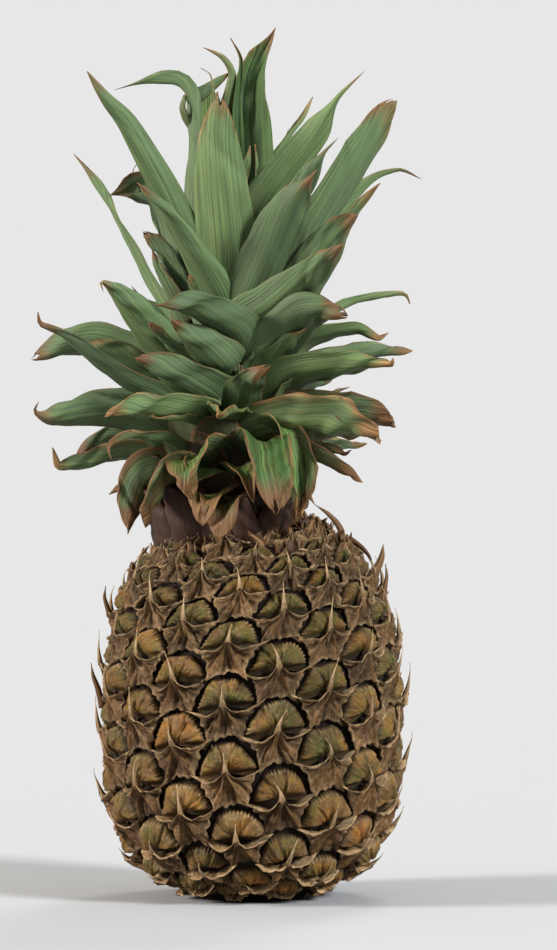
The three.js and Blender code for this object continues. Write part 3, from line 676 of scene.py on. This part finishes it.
def smooth_line(through, count):
    """Places along a Catmull-Rom curve, a little closer to each other towards its end, their shares of its
    length, and the length."""
    points = np.array(through, float)
    points = np.vstack([2 * points[0] - points[1], points, 2 * points[-1] - points[-2]])
    t = np.linspace(0, len(through) - 1, LINE_STEPS)
    i = np.minimum(t.astype(int), len(through) - 2)
    w = (t - i)[:, None]
    a, b, c, d = points[i], points[i + 1], points[i + 2], points[i + 3]
    curve = (2 * w**3 - 3 * w**2 + 1) * b + (w**3 - 2 * w**2 + w) * (c - a) / 2 * BEND_EASE
    curve += (3 * w**2 - 2 * w**3) * c + (w**3 - w**2) * (d - b) / 2 * BEND_EASE
    length = np.concatenate([[0], np.cumsum(np.linalg.norm(np.diff(curve, axis=0), axis=1))])
    share = np.linspace(0, 1, count) ** 0.9
    return at_shares(curve, length, share * length[-1]), share, length[-1]


def at_shares(values, share, wanted):
    """Vectors given along one share or length, at others."""
    return np.stack([np.interp(wanted, share, axis) for axis in values.T], -1)


def blade_axes(line, azimuth, roll):
    """At each place along a blade, the way across it and the way that it faces."""
    along = unit(np.gradient(line, axis=0))
    angle = math.radians(azimuth)
    around = np.array([-math.sin(angle), math.cos(angle), 0])
    flat = unit(around - (along @ around)[:, None] * along)
    up = np.cross(along, flat)
    turn = -np.radians(roll)[:, None]
    across = flat * np.cos(turn) + up * np.sin(turn)
    return across, np.cross(along, across)


def blade_width(share, width, fullness):
    sheath = mix(SHEATH_WIDTH, 1, np.clip(share / SHEATH_SHARE, 0, 1))
    return np.maximum(width * sheath * (1 - share**fullness) ** TAPER_POWER, TIP_WIDTH)


def blade_slope(place, side, crumple, folds, channel, tip_curl, keel):
    """How steeply a blade's face slopes at each step from its middle out to either edge, in radians."""
    bend = mix(channel, tip_curl, ease(place, TIP_START, 1)) * (1 + 0.3 * ripple(place * 4, 1.2, 2))
    fold = np.where(side < 0, *folds) * ease(place, 0.15, 0.55)
    swing = side * rng.uniform(*PLEAT_PITCH) + ripple(place * 2, 1.3, 1)
    pleats = PLEAT * np.cos(swing) * (0.4 + 0.6 * place)
    wave = 0.4 * crumple * creased(place * 9 + np.sign(side) * 2, 1.2, 2) * place
    turned_up = np.sign(side) * ease(np.abs(side), 0, keel)
    margin = np.sign(side) * ease(np.abs(side), 0.5, 1)
    return bend * turned_up + (fold + wave + MARGIN_DROOP) * margin + pleats


class Leaves:
    """Blades gathered into one piece."""

    def __init__(self):
        self.points, self.quads, self.looks, self.total = [], [], [], 0

    def add(self, azimuth, through, width, roll, twist, fullness, dry, crumple,
            rows=BLADE_ROWS, cols=BLADE_COLS, ragged=0, folds=(0, 0), tail=1,
            channel=CHANNEL, tip_curl=TIP_CURL, keel=KEEL, hook=0, sheath=1, stain_and_shade=0):
        """A closed blade through these places, on the side at azimuth. roll turns it about its own line, and
        twist turns its tip further, in degrees. The fuller it is, the longer it keeps its width. ragged and
        tail are shares of its length, by which its end is torn and at which it shrivels. folds turn up its
        sides in radians, hook bends its tip in mm, and dry, sheath and stain are shares for its colour. The
        last two darken it, partly as brown staining and partly as painted shade."""
        line, share, length = smooth_line(through, rows)
        across, face = blade_axes(line, azimuth, roll + twist * share)
        line = line + face * hook * (np.clip((share - HOOK_START) / (1 - HOOK_START), 0, 1) ** 2)[:, None]
        side = np.linspace(-1, 1, cols)[None, :]
        end = 1 - ragged * np.clip(0.5 + 0.6 * ripple(side * 3, 1.7, 3), 0, 1)
        place = share[:, None] * end
        half = blade_width(place, width, fullness) / 2
        half = half * (1 + 0.05 * ripple(place * 9 + side, 1.3, 2))
        half = half * mix(1, TAIL_WIDTH, ease(place, tail, tail + 0.12))

        slope = blade_slope(place, side, crumple, folds, channel, tip_curl, keel)
        step = 2 * half / (cols - 1)
        reach, rise = (np.cumsum(part, axis=1) for part in (np.cos(slope), np.sin(slope)))
        middle = slice(cols // 2, cols // 2 + 1)
        reach = (reach - reach[:, middle]) * step
        rise = (rise - rise[:, middle]) * step
        crush = crumple * (0.15 + 1.5 * place**3) * creased(place * 8 + side * 1.1, 1.2, 3)
        rise = rise + crush * np.minimum(1, half / 5)

        centre, wide, out = (at_shares(values, share, place) for values in (line, across, face))
        top = centre + wide * reach[..., None] + out * rise[..., None]
        normal = out * np.cos(slope)[..., None] - wide * np.sin(slope)[..., None]
        bottom = top - normal * (mix(*BLADE_THICK, side**2) * np.minimum(1, half / 2))[..., None]
        self.points += [top.reshape(-1, 3), bottom.reshape(-1, 3)]
        self.close(rows, cols)

        dryness = dry + 0.7 * ease(place, 0.78, 1) + 0.4 * np.abs(side) ** 8
        # share of the dark sheath colour: partly brown staining, partly painted shade at leaf roots and the
        # crown's foot
        root_stain_and_shade = stain_and_shade + sheath * (1 - ease(place, 0, ROOT_STAIN_AND_SHADE))
        number = rng.uniform(0, 1)
        streaks = np.stack(np.broadcast_arrays(side * half, place * length, 40 * number), -1)
        self.looks.append({
            "dry": np.tile(np.clip(dryness, 0, 1).ravel(), 2),
            "tone": np.full(2 * rows * cols, number),
            "sheath": np.tile(np.clip(root_stain_and_shade, 0, 1).ravel(), 2),
            "underside": np.repeat([0.0, 1.0], rows * cols),
            "grain": np.tile(streaks.reshape(-1, 3), (2, 1)),
        })

    def close(self, rows, cols):
        """The faces of a blade's two sides and of its rim."""
        rim = grid_rim(rows, cols)
        after = np.roll(rim, -1)
        top = grid_quads(rows, cols)
        under = rows * cols
        edge = np.stack([after, rim, under + rim, under + after], -1)
        self.quads.append(np.concatenate([top, under + top[:, ::-1], edge]) + self.total)
        self.total += 2 * under

    def make(self, name, material, node=None):
        looks = {label: np.concatenate([one[label] for one in self.looks]) for label in self.looks[0]}
        add_piece(name, np.concatenate(self.points), self.quads, material, looks, node)


def tier_leaves(tiers, arc, seat):
    """Tiers of leaves by the CAD part's rule, each bending evenly from its rise at the root to that at the
    tip: azimuth and height of the root, width, roll, fullness and two places along the middle."""
    made = []
    for tier, (z, count, length, root_rise, tip_rise, width, fullness) in enumerate(tiers):
        for i in range(count):
            place = seat + tier * 20 + i * 4
            azimuth = mix(*arc, (i + 0.5 + TIER_SHIFT * (draw(place) - 0.5)) / count)
            step = length * mix(*TIER_LENGTHS, draw(place + 1)) / TIER_STEPS
            sweep = TIER_SWEEP * (draw(place + 2) - 0.5)
            at = np.array(about_core(azimuth, core_radius(z) * 0.9, z))
            middles = []
            for n in range(1, TIER_STEPS + 1):
                rise = math.radians(mix(root_rise, tip_rise, n / TIER_STEPS))
                bearing = math.radians(azimuth + sweep * n / TIER_STEPS)
                way = (math.cos(rise) * math.cos(bearing), math.cos(rise) * math.sin(bearing), math.sin(rise))
                at = at + step * np.array(way)
                middles.append(tuple(at))
            roll = TIER_ROLL * (draw(place + 3) - 0.5)
            made.append((azimuth, z, width, roll, fullness, middles[1], middles[3]))
    return made


HEART_Z = 200  # leaves with higher roots are the heart's
FOOT_Z = 175  # and those with lower ones are the skirt's
STAINED_AND_SHADED_Z = 160  # an inner leaf with a lower root is darkened like a sheath, partly brown staining and partly painted shade
# More leaves that close the front: azimuth and height of the root, width, roll, fullness and places.
INNER = (
    (235, 196, 27, -35, 3.0, (-19, -35, 203), (-31, -44, 210), (-46, -51, 217)),
    (255, 205, 24, -30, 2.6, (-10, -34, 214), (-20, -42, 223), (-32, -47, 232)),
    (300, 178, 18, 10, 5.0, (12, -36, 190), (16, -43, 183), (18, -46, 168), (17, -43, 152)),
    (318, 176, 15, 25, 3.5, (13, -30, 187), (18, -36, 180), (20, -38, 167), (18, -36, 151)),
    (165, 214, 17, -50, 7.0, (-28, 6, 240), (-36, 6, 258.5), (-44.5, 6, 270)),
    (200, 150, 27, 0, 5.0, (-36, -10, 141), (-40, -11, 152), (-43, -13, 167)),
    (222, 150, 28, 0, 4.0, (-27, -23, 142), (-31, -26, 153), (-35, -29, 167)),
    (246, 150, 25, 0, 3.0, (-16, -28, 142), (-18, -33, 153), (-20, -38, 166)),
    (270, 150, 25, 0, 2.4, (-5, -31, 142), (-4, -36, 152), (-3, -41, 163)),
    (300, 150, 24, 0, 3.0, (7, -28, 142), (9, -32, 152), (12, -38, 163)),
    (335, 150, 24, 0, 3.0, (14, -12, 142), (17, -14, 153), (22, -17, 165)),
)
# Shrivelled strips in the heart: azimuth of the side they face, width, and places along the middle.
STRIPS = (
    (270, 5.4, (-12, 14, 316), (-8, 13, 334), (-12.4, 12, 341.6), (-19.8, 12, 345.3)),
    (270, 6.6, (-26, 13, 322.5), (-22, 13, 326), (-15, 14, 331), (-8.6, 14, 335.6)),
    (270, 2.2,
     (-14.4, -23, 306), (-15, -26.5, 318), (-15.4, -28.5, 325.5), (-16.6, -29, 330.6),
     (-20.2, -29.5, 332.8)),
    (270, 1.8, (-11.8, -24, 311), (-12.3, -27, 317.5), (-13.6, -29, 323.6)),
    (250, 4.6,
     (-23, 12, 311.5), (-26.8, 11, 316), (-28.4, 10, 320), (-27.8, 10, 324), (-25.5, 11, 327.5)),
    (290, 9.6, (-20, 16, 327.4), (-20, 15.5, 321), (-19.8, 14, 313), (-21, 13, 304)),
    (250, 7, (-6, -12, 278), (-5.2, -14, 287), (-2, -16, 296), (-0.6, -17, 303)),
    (280, 2.4, (1.7, -10, 280), (2.2, -11, 294), (1.3, -12, 304)),
    (200, 2.2, (-46.5, 22, 287), (-48.8, 22, 292.2), (-48.9, 22, 296.2), (-47.4, 22, 298.7)),
    (220, 12, (-27, 4, 232), (-33.5, 2, 246), (-38.7, 3, 256), (-40.7, 4, 262.5)),
)
# Loose horns and shreds of bract at the fruit's edges: width, and places along the middle.
SHREDS = (
    (3.4, (36.5, -8, 143), (36, -9, 148.5), (34, -10, 152), (30.5, -11, 155.5), (25.5, -12, 159)),
    (4.5, (49, -8, 128), (50.5, -8, 133), (52.5, -8, 138), (53, -8, 143)),
    (2.6, (53, -5, 120), (53.8, -5, 125), (54.5, -5, 130), (54, -5, 135)),
    (2.6, (39, -4, 145), (43.5, -4, 142.3), (47, -4, 138.5), (49.4, -4, 133)),
    (2.4, (-57, -6, 114), (-58.5, -6, 118), (-59.5, -6, 122), (-59, -6, 126)),
    (3.2, (-60, -4, 77), (-62, -4, 84), (-64.2, -4, 90), (-65, -4, 95)),
)


def dryness_at(z):
    return float(np.interp(z, (158, 180, 226), (0.6, 0.25, 0.0)))


def crumple_at(z):
    return float(np.interp(z, (158, 226), (1.1, 0.7)))


def add_crown(material):
    """The leaves in four pieces, and what closes the crown between and under them."""
    heart, middle, foot, back = Leaves(), Leaves(), Leaves(), Leaves()
    for azimuth, z, width, roll, twist, fullness, own, *places in LEAVES:
        group = heart if z > HEART_Z else middle if z > FOOT_Z else foot
        settings = {"dry": dryness_at(z), "crumple": crumple_at(z)} | own
        group.add(azimuth, rooted(azimuth, z, places), width, roll, twist, fullness, **settings)
    for azimuth, width, *places in STRIPS:
        heart.add(azimuth, places, width, rng.uniform(-20, 20), rng.uniform(-60, 60), 1.6, dry=0.4,
                  crumple=0.9, folds=rng.uniform(-1, 1, 2), rows=26, cols=9, sheath=0)
    for azimuth, z, width, roll, fullness, *places in INNER:
        middle.add(azimuth, rooted(azimuth, z, places), width, roll, 10, fullness, dry=dryness_at(z),
                   crumple=0.9, ragged=0.04, folds=rng.uniform(-0.5, 0.8, 2), rows=30,
                   stain_and_shade=int(z < STAINED_AND_SHADED_Z))
    for leaf in tier_leaves(BACK_TIERS, BACK_ARC, 0) + tier_leaves(FRONT_TIERS, FRONT_ARC, 300):
        azimuth, z, width, roll, fullness, *places = leaf
        back.add(azimuth, rooted(azimuth, z, places), width, roll, TIER_TWIST, fullness, dry=dryness_at(z),
                 crumple=crumple_at(z), folds=rng.uniform(-0.6, 1.4, 2), hook=rng.uniform(-4, 4),
                 tail=rng.uniform(0.72, 1.05), rows=TIER_ROWS)
    for width, *places in SHREDS:
        foot.add(0, places, width, 60, 20, 1.6, dry=0.9, crumple=0.5, rows=22, cols=9, sheath=0, stain_and_shade=0.4)
    parts = {"crown_heart": heart, "crown_leaves": middle, "crown_skirt": foot, "crown_rosette": back}
    for name, leaves in parts.items():
        leaves.make(name, material, "crown")
    add_sheaths(material)
    add_shoulder_bracts(material)
    add_core(material)


# Tiers of short leaves that clasp the crown's stem: height of the roots, number, length and tips' flare.
SHEATHS = ((150.5, 10, 22, 3), (153, 10, 27, 6), (160, 9, 28, 14), (169, 9, 32, 18), (179, 8, 34, 20),
           (190, 8, 36, 20), (202, 7, 38, 18), (214, 6, 38, 14))
SHEATH_OVERLAP = 1.8


def add_sheaths(material):
    """The short leaves and leaf bases that close the crown between its long leaves."""
    sheaths = Leaves()
    for tier, (z, count, length, flare) in enumerate(SHEATHS):
        width = 2 * math.pi * core_radius(z + 6) / count * SHEATH_OVERLAP
        for i in range(count):
            azimuth = 360 * (i + 0.5 * (tier % 2) + rng.uniform(-0.2, 0.2)) / count
            high = length * rng.uniform(0.8, 1.2)
            out = flare * rng.uniform(0.6, 1.4)
            through = [about_core(azimuth, core_radius(z) * 0.75, z)]
            for share in (0.15, 0.4, 0.7, 1.0):
                radius = core_radius(z + high * share) + 1.5 + out * share**2
                through.append(about_core(azimuth, radius, z + high * share))
            # lower sheaths are darker: partly brown staining, partly painted shade at the crown's foot
            sheaths.add(azimuth, through, width, rng.uniform(-12, 12), rng.uniform(-25, 25), 2.4,
                        dry=dryness_at(z) - 0.05, crumple=1, ragged=rng.uniform(0, 0.12),
                        folds=rng.uniform(-0.8, 0.8, 2), rows=17, cols=13,
                        channel=width / 2 / core_radius(z) * 1.1, tip_curl=0.7, keel=1.5,
                        hook=rng.uniform(-4, 2), stain_and_shade=np.interp(z, (155, 185), (1, 0.1)))
    sheaths.make("crown_sheaths", material, "crown")


SHOULDER_BRACTS = 165
SHOULDER_FIBRES = 120
SHOULDER_BAND = (1, 25)  # along the skin, below the seat
GOLDEN_ANGLE = 137.5


def add_shoulder_bracts(material):
    """The small dry bracts and fibres that crowd round the crown's foot."""
    dry = Leaves()
    for i in range(SHOULDER_BRACTS + SHOULDER_FIBRES):
        fibre = i >= SHOULDER_BRACTS
        angle = i * math.radians(GOLDEN_ANGLE) + rng.uniform(-0.2, 0.2)
        length = SEAT_LENGTH - mix(*SHOULDER_BAND, rng.uniform(0, 1) ** 1.4)
        reach = rng.uniform(5, 14) if fibre else rng.uniform(1, 9)
        sway = rng.uniform(-9, 9)
        through = []
        for share in (0, 0.4, 0.75, 1):
            turn = angle + sway * share**1.5 / radius_at(length)
            high = -3.5 + (3.5 + rng.uniform(-0.5, 5)) * share**0.8
            through.append(skin(turn, min(length + reach * share, LENGTHS[-1]), high))
        width = rng.uniform(0.7, 1.3) if fibre else rng.uniform(2, 8)
        dry.add(math.degrees(angle) - 90, through, width, rng.uniform(-70, 70), rng.uniform(-120, 120), 2.0,
                dry=0.95, crumple=0.5 if fibre else 2.2, ragged=0.5, folds=rng.uniform(-2, 2, 2),
                rows=9, cols=3 if fibre else 7, channel=0.6, keel=0.6, hook=rng.uniform(-3, 3),
                stain_and_shade=rng.uniform(-0.5, 1))
    dry.make("shoulder_bracts", material)


CORE_ROWS = 40
CORE_RIB = 0.03  # of the radius


def add_core(material):
    """The short stem inside the clasping leaf bases."""
    heights = np.linspace(CROWN_CORE[0][0], CROWN_CORE[-1][0], CORE_ROWS)
    rings = [(core_radius(z) * (1 + CORE_RIB * np.sin(BODY_TURN * 9 + z * 0.25)), z) for z in heights]
    points, faces = turned(heights[0], rings, heights[-1])
    points += (CROWN_LEAN, 0, 0)
    # the whole core takes the dark sheath colour: partly brown staining, partly painted shade inside the
    # crown
    looks = even_looks(points, dry=0.8, tone=0.4, sheath=1, underside=0)
    add_piece("crown_core", points, faces, material, looks, "crown")


# ---- materials ----
class Nodes:
    """A material's node tree, with a short way to add and link its nodes."""

    def __init__(self, name):
        self.material = bpy.data.materials.new(name)
        self.material.use_nodes = True
        self.tree = self.material.node_tree
        self.shader = self.tree.nodes["Principled BSDF"]

    def add(self, kind, inputs=None, **settings):
        node = self.tree.nodes.new("ShaderNode" + kind)
        for key, value in settings.items():
            setattr(node, key, value)
        for key, value in (inputs or {}).items():
            self.feed(node.inputs[key], value)
        return node

    def feed(self, socket, value):
        if isinstance(value, bpy.types.NodeSocket):
            self.tree.links.new(value, socket)
        else:
            socket.default_value = value

    def shade(self, **inputs):
        """Feed the shader's own sockets, such as Base_Color."""
        for key, value in inputs.items():
            self.feed(self.shader.inputs[key.replace("_", " ")], value)

    def place(self):
        return self.add("TexCoord").outputs["Object"]

    def look(self, name, output="Fac"):
        return self.add("Attribute", attribute_name=name).outputs[output]

    def math(self, operation, *values, clamp=False):
        node = self.add("Math", operation=operation, use_clamp=clamp)
        for socket, value in zip(node.inputs, values):
            self.feed(socket, value)
        return node.outputs[0]

    def total(self, *terms):
        """The sum of values, each times its own number."""
        parts = [self.math("MULTIPLY", value, number) for value, number in terms]
        while len(parts) > 1:
            parts[:2] = [self.math("ADD", *parts[:2])]
        return parts[0]

    def mix(self, share, a, b):
        node = self.add("Mix", data_type="RGBA")
        for key, value in (("Factor", share), ("A", a), ("B", b)):
            socket = next(s for s in node.inputs if s.name == key and s.enabled)
            self.feed(socket, value)
        return next(s for s in node.outputs if s.enabled)

    def ramp(self, value, *stops):
        """Colours or greys by value: stops of (place, colour)."""
        node = self.add("ValToRGB", {"Fac": value})
        elements = node.color_ramp.elements
        while len(elements) < len(stops):
            elements.new(1)
        for element, (place, color) in zip(elements, stops):
            element.position = place
            element.color = color if isinstance(color, tuple) else (color, color, color, 1)
        return node.outputs["Color"]

    def noise(self, vector, scale, detail=3, roughness=0.55):
        inputs = {"Vector": vector, "Scale": scale, "Detail": detail, "Roughness": roughness}
        return self.add("TexNoise", inputs).outputs["Fac"]

    def stretched(self, vector, scale):
        return self.add("Mapping", {"Vector": vector, "Scale": scale}).outputs["Vector"]

    def bump(self, *layers):
        """A normal with layers of (height, strength, distance) over each other."""
        normal = None
        for height, strength, distance in layers:
            inputs = {"Height": height, "Strength": strength, "Distance": distance}
            if normal:
                inputs["Normal"] = normal
            normal = self.add("Bump", inputs).outputs["Normal"]
        return normal


def rgb(*parts):
    return (*parts, 1)


def fruit_material():
    n = Nodes("pineapple_skin")
    tone, crest, margin, papery = (n.look(name) for name in ("tone", "crest", "margin", "papery"))
    place = n.place()
    height = n.add("SeparateXYZ", {"Vector": place}).outputs["Z"]
    fine = n.noise(n.stretched(n.look("grain", "Vector"), (2.4, 0.3, 1)), 1.0, 4, 0.65)
    blotch = n.noise(place, 70, 4)
    speck = n.noise(place, 620, 3, 0.7)
    ripe = n.total((blotch, 0.9), (tone, 0.16), (height, -1.1))
    sepal = n.ramp(ripe, (0.22, rgb(0.034, 0.044, 0.010)), (0.38, rgb(0.090, 0.082, 0.015)),
                   (0.52, rgb(0.190, 0.098, 0.016)), (0.72, rgb(0.290, 0.105, 0.016)))
    dirt = n.ramp(n.total((speck, 0.6), (n.noise(place, 190, 3), 0.5)), (0.46, 0.0), (0.62, 0.8))
    sepal = n.mix(dirt, sepal, rgb(0.075, 0.036, 0.014))
    bract = n.ramp(n.total((fine, 0.6), (blotch, 0.45)), (0.36, rgb(0.018, 0.008, 0.003)),
                   (0.5, rgb(0.080, 0.038, 0.014)), (0.70, rgb(0.230, 0.130, 0.055)))
    # pale: the bracts' dry edges and the spines' tips, and on the sepals' beads a painted highlight
    pale = n.ramp(fine, (0.3, rgb(0.15, 0.08, 0.035)), (0.7, rgb(0.42, 0.29, 0.15)))
    color = n.mix(n.ramp(papery, (0.0, 0.0), (0.65, 0.85), (1.0, 0.7)), sepal, bract)
    color = n.mix(n.math("MULTIPLY", margin, 0.8, clamp=True), color, pale)
    bleached = n.math("MULTIPLY", n.math("SUBTRACT", margin, 0.6), 1.4, clamp=True)
    bleached = n.math("MULTIPLY", bleached, n.ramp(papery, (0.7, 0.0), (0.9, 1.0)))
    color = n.mix(bleached, color, rgb(0.52, 0.36, 0.20))
    color = n.mix(n.ramp(speck, (0.56, 0.0), (0.70, 0.5)), color, rgb(0.30, 0.20, 0.10))
    color = n.mix(n.ramp(speck, (0.34, 0.7), (0.46, 0.0)), color, rgb(0.020, 0.010, 0.004))
    # painted shade: the skin turns near black down in the grooves, pockets and slits, the lower it lies
    painted_groove_shade = n.ramp(crest, (0.0, 1.0), (0.35, 0.7), (0.72, 0.0))
    color = n.mix(painted_groove_shade, color, rgb(0.007, 0.003, 0.001))
    matt = n.total((fine, 0.4), (n.ramp(crest, (0.2, 0.6), (0.7, 0.18)), 1), (papery, 0.12))
    normal = n.bump((speck, 0.6, 0.0005), (n.noise(place, 260, 4), 0.7, 0.0012), (fine, 0.9, 0.0012))
    n.shade(Base_Color=color, Specular_IOR_Level=0.16, Roughness=matt, Normal=normal)
    return n.material


def leaf_material():
    n = Nodes("pineapple_leaf")
    dry, tone, sheath, underside = (n.look(name) for name in ("dry", "tone", "sheath", "underside"))
    streaks = n.look("grain", "Vector")
    ribs = n.noise(n.stretched(streaks, (1.5, 0.02, 1)), 1.0)
    threads = n.noise(n.stretched(streaks, (5.0, 0.05, 1)), 1.0, 2)
    patches = n.noise(n.stretched(streaks, (0.25, 0.05, 1)), 1.0, 4)
    green = n.ramp(n.total((ribs, 0.8), (tone, 0.25)), (0.38, rgb(0.014, 0.032, 0.008)),
                   (0.55, rgb(0.040, 0.078, 0.018)), (0.74, rgb(0.11, 0.16, 0.045)))
    green = n.mix(n.math("MULTIPLY", underside, 0.35), green, rgb(0.10, 0.13, 0.07))
    tan = n.ramp(ribs, (0.32, rgb(0.05, 0.022, 0.008)), (0.55, rgb(0.15, 0.08, 0.028)),
                 (0.75, rgb(0.30, 0.18, 0.07)))
    tan = n.mix(n.ramp(tone, (0.3, 0.6), (0.8, 0.0)), tan, rgb(0.055, 0.024, 0.010))
    share = n.total((dry, 1), (n.math("SUBTRACT", patches, 0.5), 0.9))
    color = n.mix(n.ramp(share, (0.4, 0.0), (0.8, 1.0)), green, tan)
    # dark sheath colour at leaf roots, the core and the crown's foot: partly brown staining, partly painted
    # shade
    color = n.mix(n.math("MULTIPLY", sheath, 0.96), color, rgb(0.024, 0.009, 0.005))
    matt = n.ramp(ribs, (0.3, 0.52), (0.7, 0.72))
    normal = n.bump((threads, 0.4, 0.0002), (ribs, 0.85, 0.00055))
    n.shade(Base_Color=color, Specular_IOR_Level=0.18, Roughness=matt, Normal=normal)
    return n.material


def stem_material():
    n = Nodes("cut_stem")
    place = n.place()
    fibres = n.noise(n.stretched(place, (1, 1, 0.1)), 900)
    color = n.mix(n.noise(place, 120), rgb(0.30, 0.20, 0.10), rgb(0.55, 0.42, 0.24))
    color = n.mix(n.ramp(fibres, (0.4, 0.6), (0.6, 0.0)), color, rgb(0.12, 0.07, 0.03))
    n.shade(Base_Color=color, Roughness=0.85, Normal=n.bump((fibres, 0.6, 0.0006)))
    return n.material


# ---- floor, lights and camera ----
CAMERA_DISTANCE = 1.7
CAMERA_AIM = (0.01073, 0.0, 0.1709)
CAMERA_LENS = 159.0
PALE = 0.8  # brightness of the studio's walls, and of its floor far from the object
FLOOR_REACH = 120  # in metres
SOFTNESS = 14  # degrees across that each light looks from the object
# Name, the side that the light comes from, strength and colour.
LIGHTS = (
    ("light_left", (-2.4, -0.6, 0.9), 7.6, (1.0, 0.95, 0.9)),
    ("light_right", (1.9, -1.6, 1.3), 6.8, (0.92, 0.96, 1.0)),
    ("light_back", (0.4, 1.1, 1.7), 1.4, (1.0, 1.0, 1.0)),
)


def add_lights():
    """Three soft lights from afar, and pale walls all round."""
    for name, side, strength, color in LIGHTS:
        light = bpy.data.lights.new(name, "SUN")
        light.angle = math.radians(SOFTNESS)
        light.energy = strength
        light.color = color
        add_object(name, light).rotation_euler = Vector(side).to_track_quat("Z", "Y").to_euler()
    world = bpy.data.worlds.new("studio")
    world.use_nodes = True
    walls = world.node_tree.nodes["Background"]
    walls.inputs["Color"].default_value = rgb(1, 1, 1)
    walls.inputs["Strength"].default_value = PALE
    bpy.context.scene.world = world
    bpy.context.scene.view_settings.view_transform = "Standard"


def add_floor():
    """A level floor whose shade makes it as bright as the walls, so that they meet without a line."""
    lit = np.full(3, PALE)
    for _, side, strength, color in LIGHTS:
        lit += strength / math.pi * Vector(side).normalized().z * np.array(color)
    n = Nodes("studio_pale")
    n.shade(Base_Color=rgb(*(PALE / lit)), Roughness=1.0, Specular_IOR_Level=0.0)
    mesh = bpy.data.meshes.new("studio_floor")
    corners = [(FLOOR_REACH * x, FLOOR_REACH * y, 0) for x, y in ((-1, -1), (1, -1), (1, 1), (-1, 1))]
    mesh.from_pydata(corners, [], [(0, 1, 2, 3)])
    mesh.materials.append(n.material)
    floor = add_object("studio_floor", mesh)


def add_camera():
    camera = bpy.data.cameras.new("camera")
    camera.sensor_width = 36
    camera.lens = CAMERA_LENS
    camera.clip_start, camera.clip_end = 0.05, 500
    holder = add_object("camera", camera)
    x, y, z = CAMERA_AIM
    holder.location = (x, y - CAMERA_DISTANCE, z)
    holder.rotation_euler = (math.pi / 2, 0, 0)
    bpy.context.scene.camera = holder


add_camera()
add_lights()
add_floor()
add_fruit(fruit_material())
add_crown(leaf_material())
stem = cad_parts["cut_stem"]
stem.data.materials.clear()
stem.data.materials.append(stem_material())
